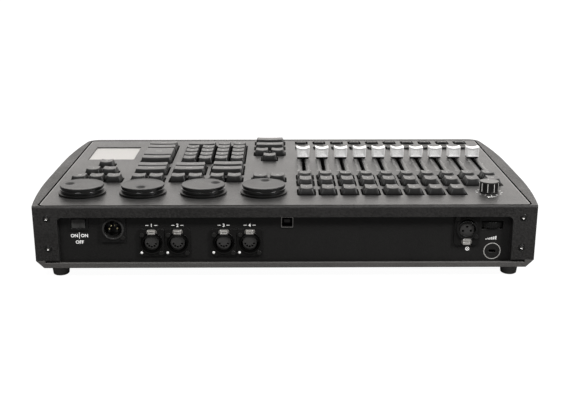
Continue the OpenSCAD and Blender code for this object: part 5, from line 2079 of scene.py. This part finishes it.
    def printing(self) -> bpy.types.Object:
        """Prints the switch's words, the sockets' figures and two plain signs.

        Returns:
            The printing.
        """
        mould = Mould(FRAMES.panel())
        words = self.pointed("switch_words")
        for side in (-self.on_apart, self.on_apart):
            self.letters.write(mould, "ON", (words[0] + side, words[1], 0.0),
                               self.figure_tall)
        self.bar(mould, words, *self.on_bar)
        self.keep_sign(mould, "switch_words", 0)
        self.letters.write(mould, "OFF", (words[0], words[1] - self.off_below, 0.0),
                           self.figure_tall)
        line = self.pointed("figure_1")[1]
        for k, points in enumerate(self.solids.of("dmx_sockets", FRAMES.panel())):
            x, first = centre(points)[0], len(mould.points)
            self.letters.write(mould, str(k + 1), (x, line, 0.0), self.figure_tall)
            if k == 0:
                self.keep_sign(mould, "figure_1", first)
            for side in (-self.dash_at, self.dash_at):
                self.bar(mould, np.array([x + side, line]), *self.dash)
        ramp, first = self.pointed("dimmer_sign"), len(mould.points)
        for k in range(self.ramp_bars):
            tall = self.ramp_first + self.ramp_rise * k
            at = ramp + self.ramp_from + (self.ramp_pitch * k, tall / 2)
            self.bar(mould, at, self.ramp_wide, tall)
        self.keep_sign(mould, "dimmer_sign", first)
        bulb, first = self.pointed("lamp_sign"), len(mould.points)
        mould.loft([level(circle(r, self.bulb_steps), z, bulb) for r, z in self.bulb_ring],
                   0, False, False)
        for turn in self.bulb_turns:
            flat = spoke(bulb, math.radians(turn), *self.bulb_bar)
            mould.loft([level(flat, -0.1), level(flat, 0.04)])
        self.keep_sign(mould, "lamp_sign", first)
        return place(mould.piece("bay_printing", [Finishes.PRINT]), "desk", "deck_paint")

    def keep_sign(self, mould: Mould, name: str, first: int) -> None:
        """Keeps the middle of what was drawn from one form on, for the image points."""
        drawn = centre(np.concatenate(mould.points[first:]))
        self.signs[name] = [FRAMES.panel() @ Vector(drawn)]

    @staticmethod
    def bar(mould: Mould, at: np.ndarray, wide: float, tall: float) -> None:
        """Prints one plain bar with its middle at a place on the panel."""
        half = np.array([wide, tall]) / 2
        Lettering.bar(mould, at - half, at + half)

    def leg_screws(self) -> None:
        """Adds the domed heads, each with a round recess, over the legs' screws."""
        mould = Mould(FRAMES.panel())
        for points in self.solids.of("casing_screws", FRAMES.panel()):
            at, r, top = centre(points), np.ptp(points[:, 0]) / 2, points[:, 2].max()
            # A thin black ring round each head paints the shade of its seat; the bright steel recess is a painted
            # glint.
            self.collar(mould, at, self.leg_face, Collar(r + 0.1, r + 0.8, 0.12))
            rim = [(r + self.head_over, top - 0.25), (r + self.head_over, top + 0.05)]
            mould.lathe(rim + [(r * share, top + up) for share, up in self.head],
                        self.head_steps, (at[0], at[1], 0), list(self.head_paints))
        place(mould.piece("leg_screw_heads", [Finishes.BLACK, Finishes.STEEL]), "desk", "steel")

    def build(self) -> None:
        """Models the bay's parts."""
        for k in range(1, self.data_sockets + 1):
            self.latch(f"dmx_latch_{k}", f"dmx_tab_{k}")
        self.latch("lamp_latch", "lamp_tab")
        self.rocker()
        self.dimmer()
        self.round_sockets()
        self.small_fronts()
        self.leg_screws()
        self.printing()


@dataclass
class Feet:
    """The four soft rubber feet."""

    solids: CadSolids
    sole_edge: float = 0.9
    screw_dish: Pairs = ((2.6, 0.6), (3.4, 0.15), (3.8, 0.0))
    steps: int = 56

    def build(self) -> bpy.types.Object:
        """Turns the feet with rounded soles.

        Returns:
            The feet.
        """
        mould = Mould(FRAMES.row())
        for points in self.solids.of("feet", FRAMES.row()):
            low, high, mid = points.min(0), points.max(0), centre(points)
            h, e = high[2] - low[2], self.sole_edge
            sole_r, r = (np.ptp(at_height(points, z, SKIN)[:, 0]) / 2
                         for z in (low[2], high[2]))
            sole = [(sole_r - e, 0.0), (sole_r - 0.4 * e, 0.12), (sole_r, 0.45),
                    (sole_r + 0.12, 1.0), (r - 0.1, h - 0.8), (r, h - 0.3), (r, h)]
            mould.lathe(list(self.screw_dish) + sole, self.steps, (mid[0], mid[1], low[2]))
        return place(mould.piece("rubber_feet", [Finishes.RUBBER]), "desk", "rubber", "feet")


def landmarks(solids: CadSolids) -> dict[str, list[Vector]]:
    """Where the features of the image points are in the row frame.

    Args:
        solids: The reader of the CAD solids.

    Returns:
        For each image point, the places whose middle is the feature.
    """
    deck, panel = FRAMES.deck(), FRAMES.panel()

    def disc(node: str, frame: Matrix, which: int = 0, z: float | None = None) -> list[Vector]:
        """The middle of a solid's upper face.

        Args:
            node: The CAD node.
            frame: The frame that the face looks out of.
            which: Which of its solids, from the left.
            z: The height that is meant, where it isn't the face's own.

        Returns:
            The one place.
        """
        points = solids.of(node, frame)[which]
        top = points[:, 2].max()
        mid = centre(at_height(points, top, SKIN))
        return [frame @ Vector((mid[0], mid[1], top if z is None else z))]

    def corner(right: bool, rear: bool) -> list[Vector]:
        """A corner of the box round the control plate's face.

        Args:
            right: Whether it is on the user's right.
            rear: Whether it is at the rear.

        Returns:
            The one place.
        """
        face = at_height(solids.of("control_plate", deck)[0], 0.0, FLAT)
        low, high = face.min(0), face.max(0)
        x, y = high[0] if right else low[0], high[1] if rear else low[1]
        return [deck @ Vector((x, y, 0.0))]

    return {
        "far_corner_left": corner(True, False),
        "far_corner_right": corner(False, False),
        "wheel_outer": disc("encoder_wheel_4", deck),
        "wheel_inner": disc("encoder_wheel_1", deck),
        "knob_top": disc("master_knob", deck),
        "pad_middle": disc("pad_inlay", deck),
        "power_mouth": disc("power_inlet", panel),
        "dmx_1_mouth": disc("dmx_sockets", panel, 0),
        "dmx_4_mouth": disc("dmx_sockets", panel, 3),
        "lamp_mouth": disc("lamp_socket", panel),
        "lock_slot": disc("lock_plate", panel, 0, 0.0),
        "usb_mouth": disc("usb_port", panel),
    }


def main() -> None:
    """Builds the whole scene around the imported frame."""
    logging.basicConfig(level=logging.INFO, format="%(message)s", stream=sys.stdout)
    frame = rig.load()
    cad_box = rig.bounds()
    camera = Studio().build()
    effects = Effects()
    for finish in Finishes:
        finish.value.make(effects)
    solids = CadSolids(frame["nodes"])
    letters = Lettering()
    Housing(frame["nodes"]).build()
    KeyFields(solids, letters).build()
    FaderBank(solids).build()
    TurningControls(solids).build()
    points = PointReport(camera)
    bay = RearBay(solids, letters, points, frame["nodes"]["rear_panel"])
    bay.build()
    Feet(solids).build()
    points.write({**landmarks(solids), **bay.signs},
                 ["casing", "rubber_feet", "centre_keys_caps"], "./points.json")
    sizes = {"cad": [list(v) for v in cad_box], "visual": [list(v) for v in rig.bounds()]}
    with open("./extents.json", "w") as out:
        json.dump(sizes, out)


if __name__ == "__main__":
    main()
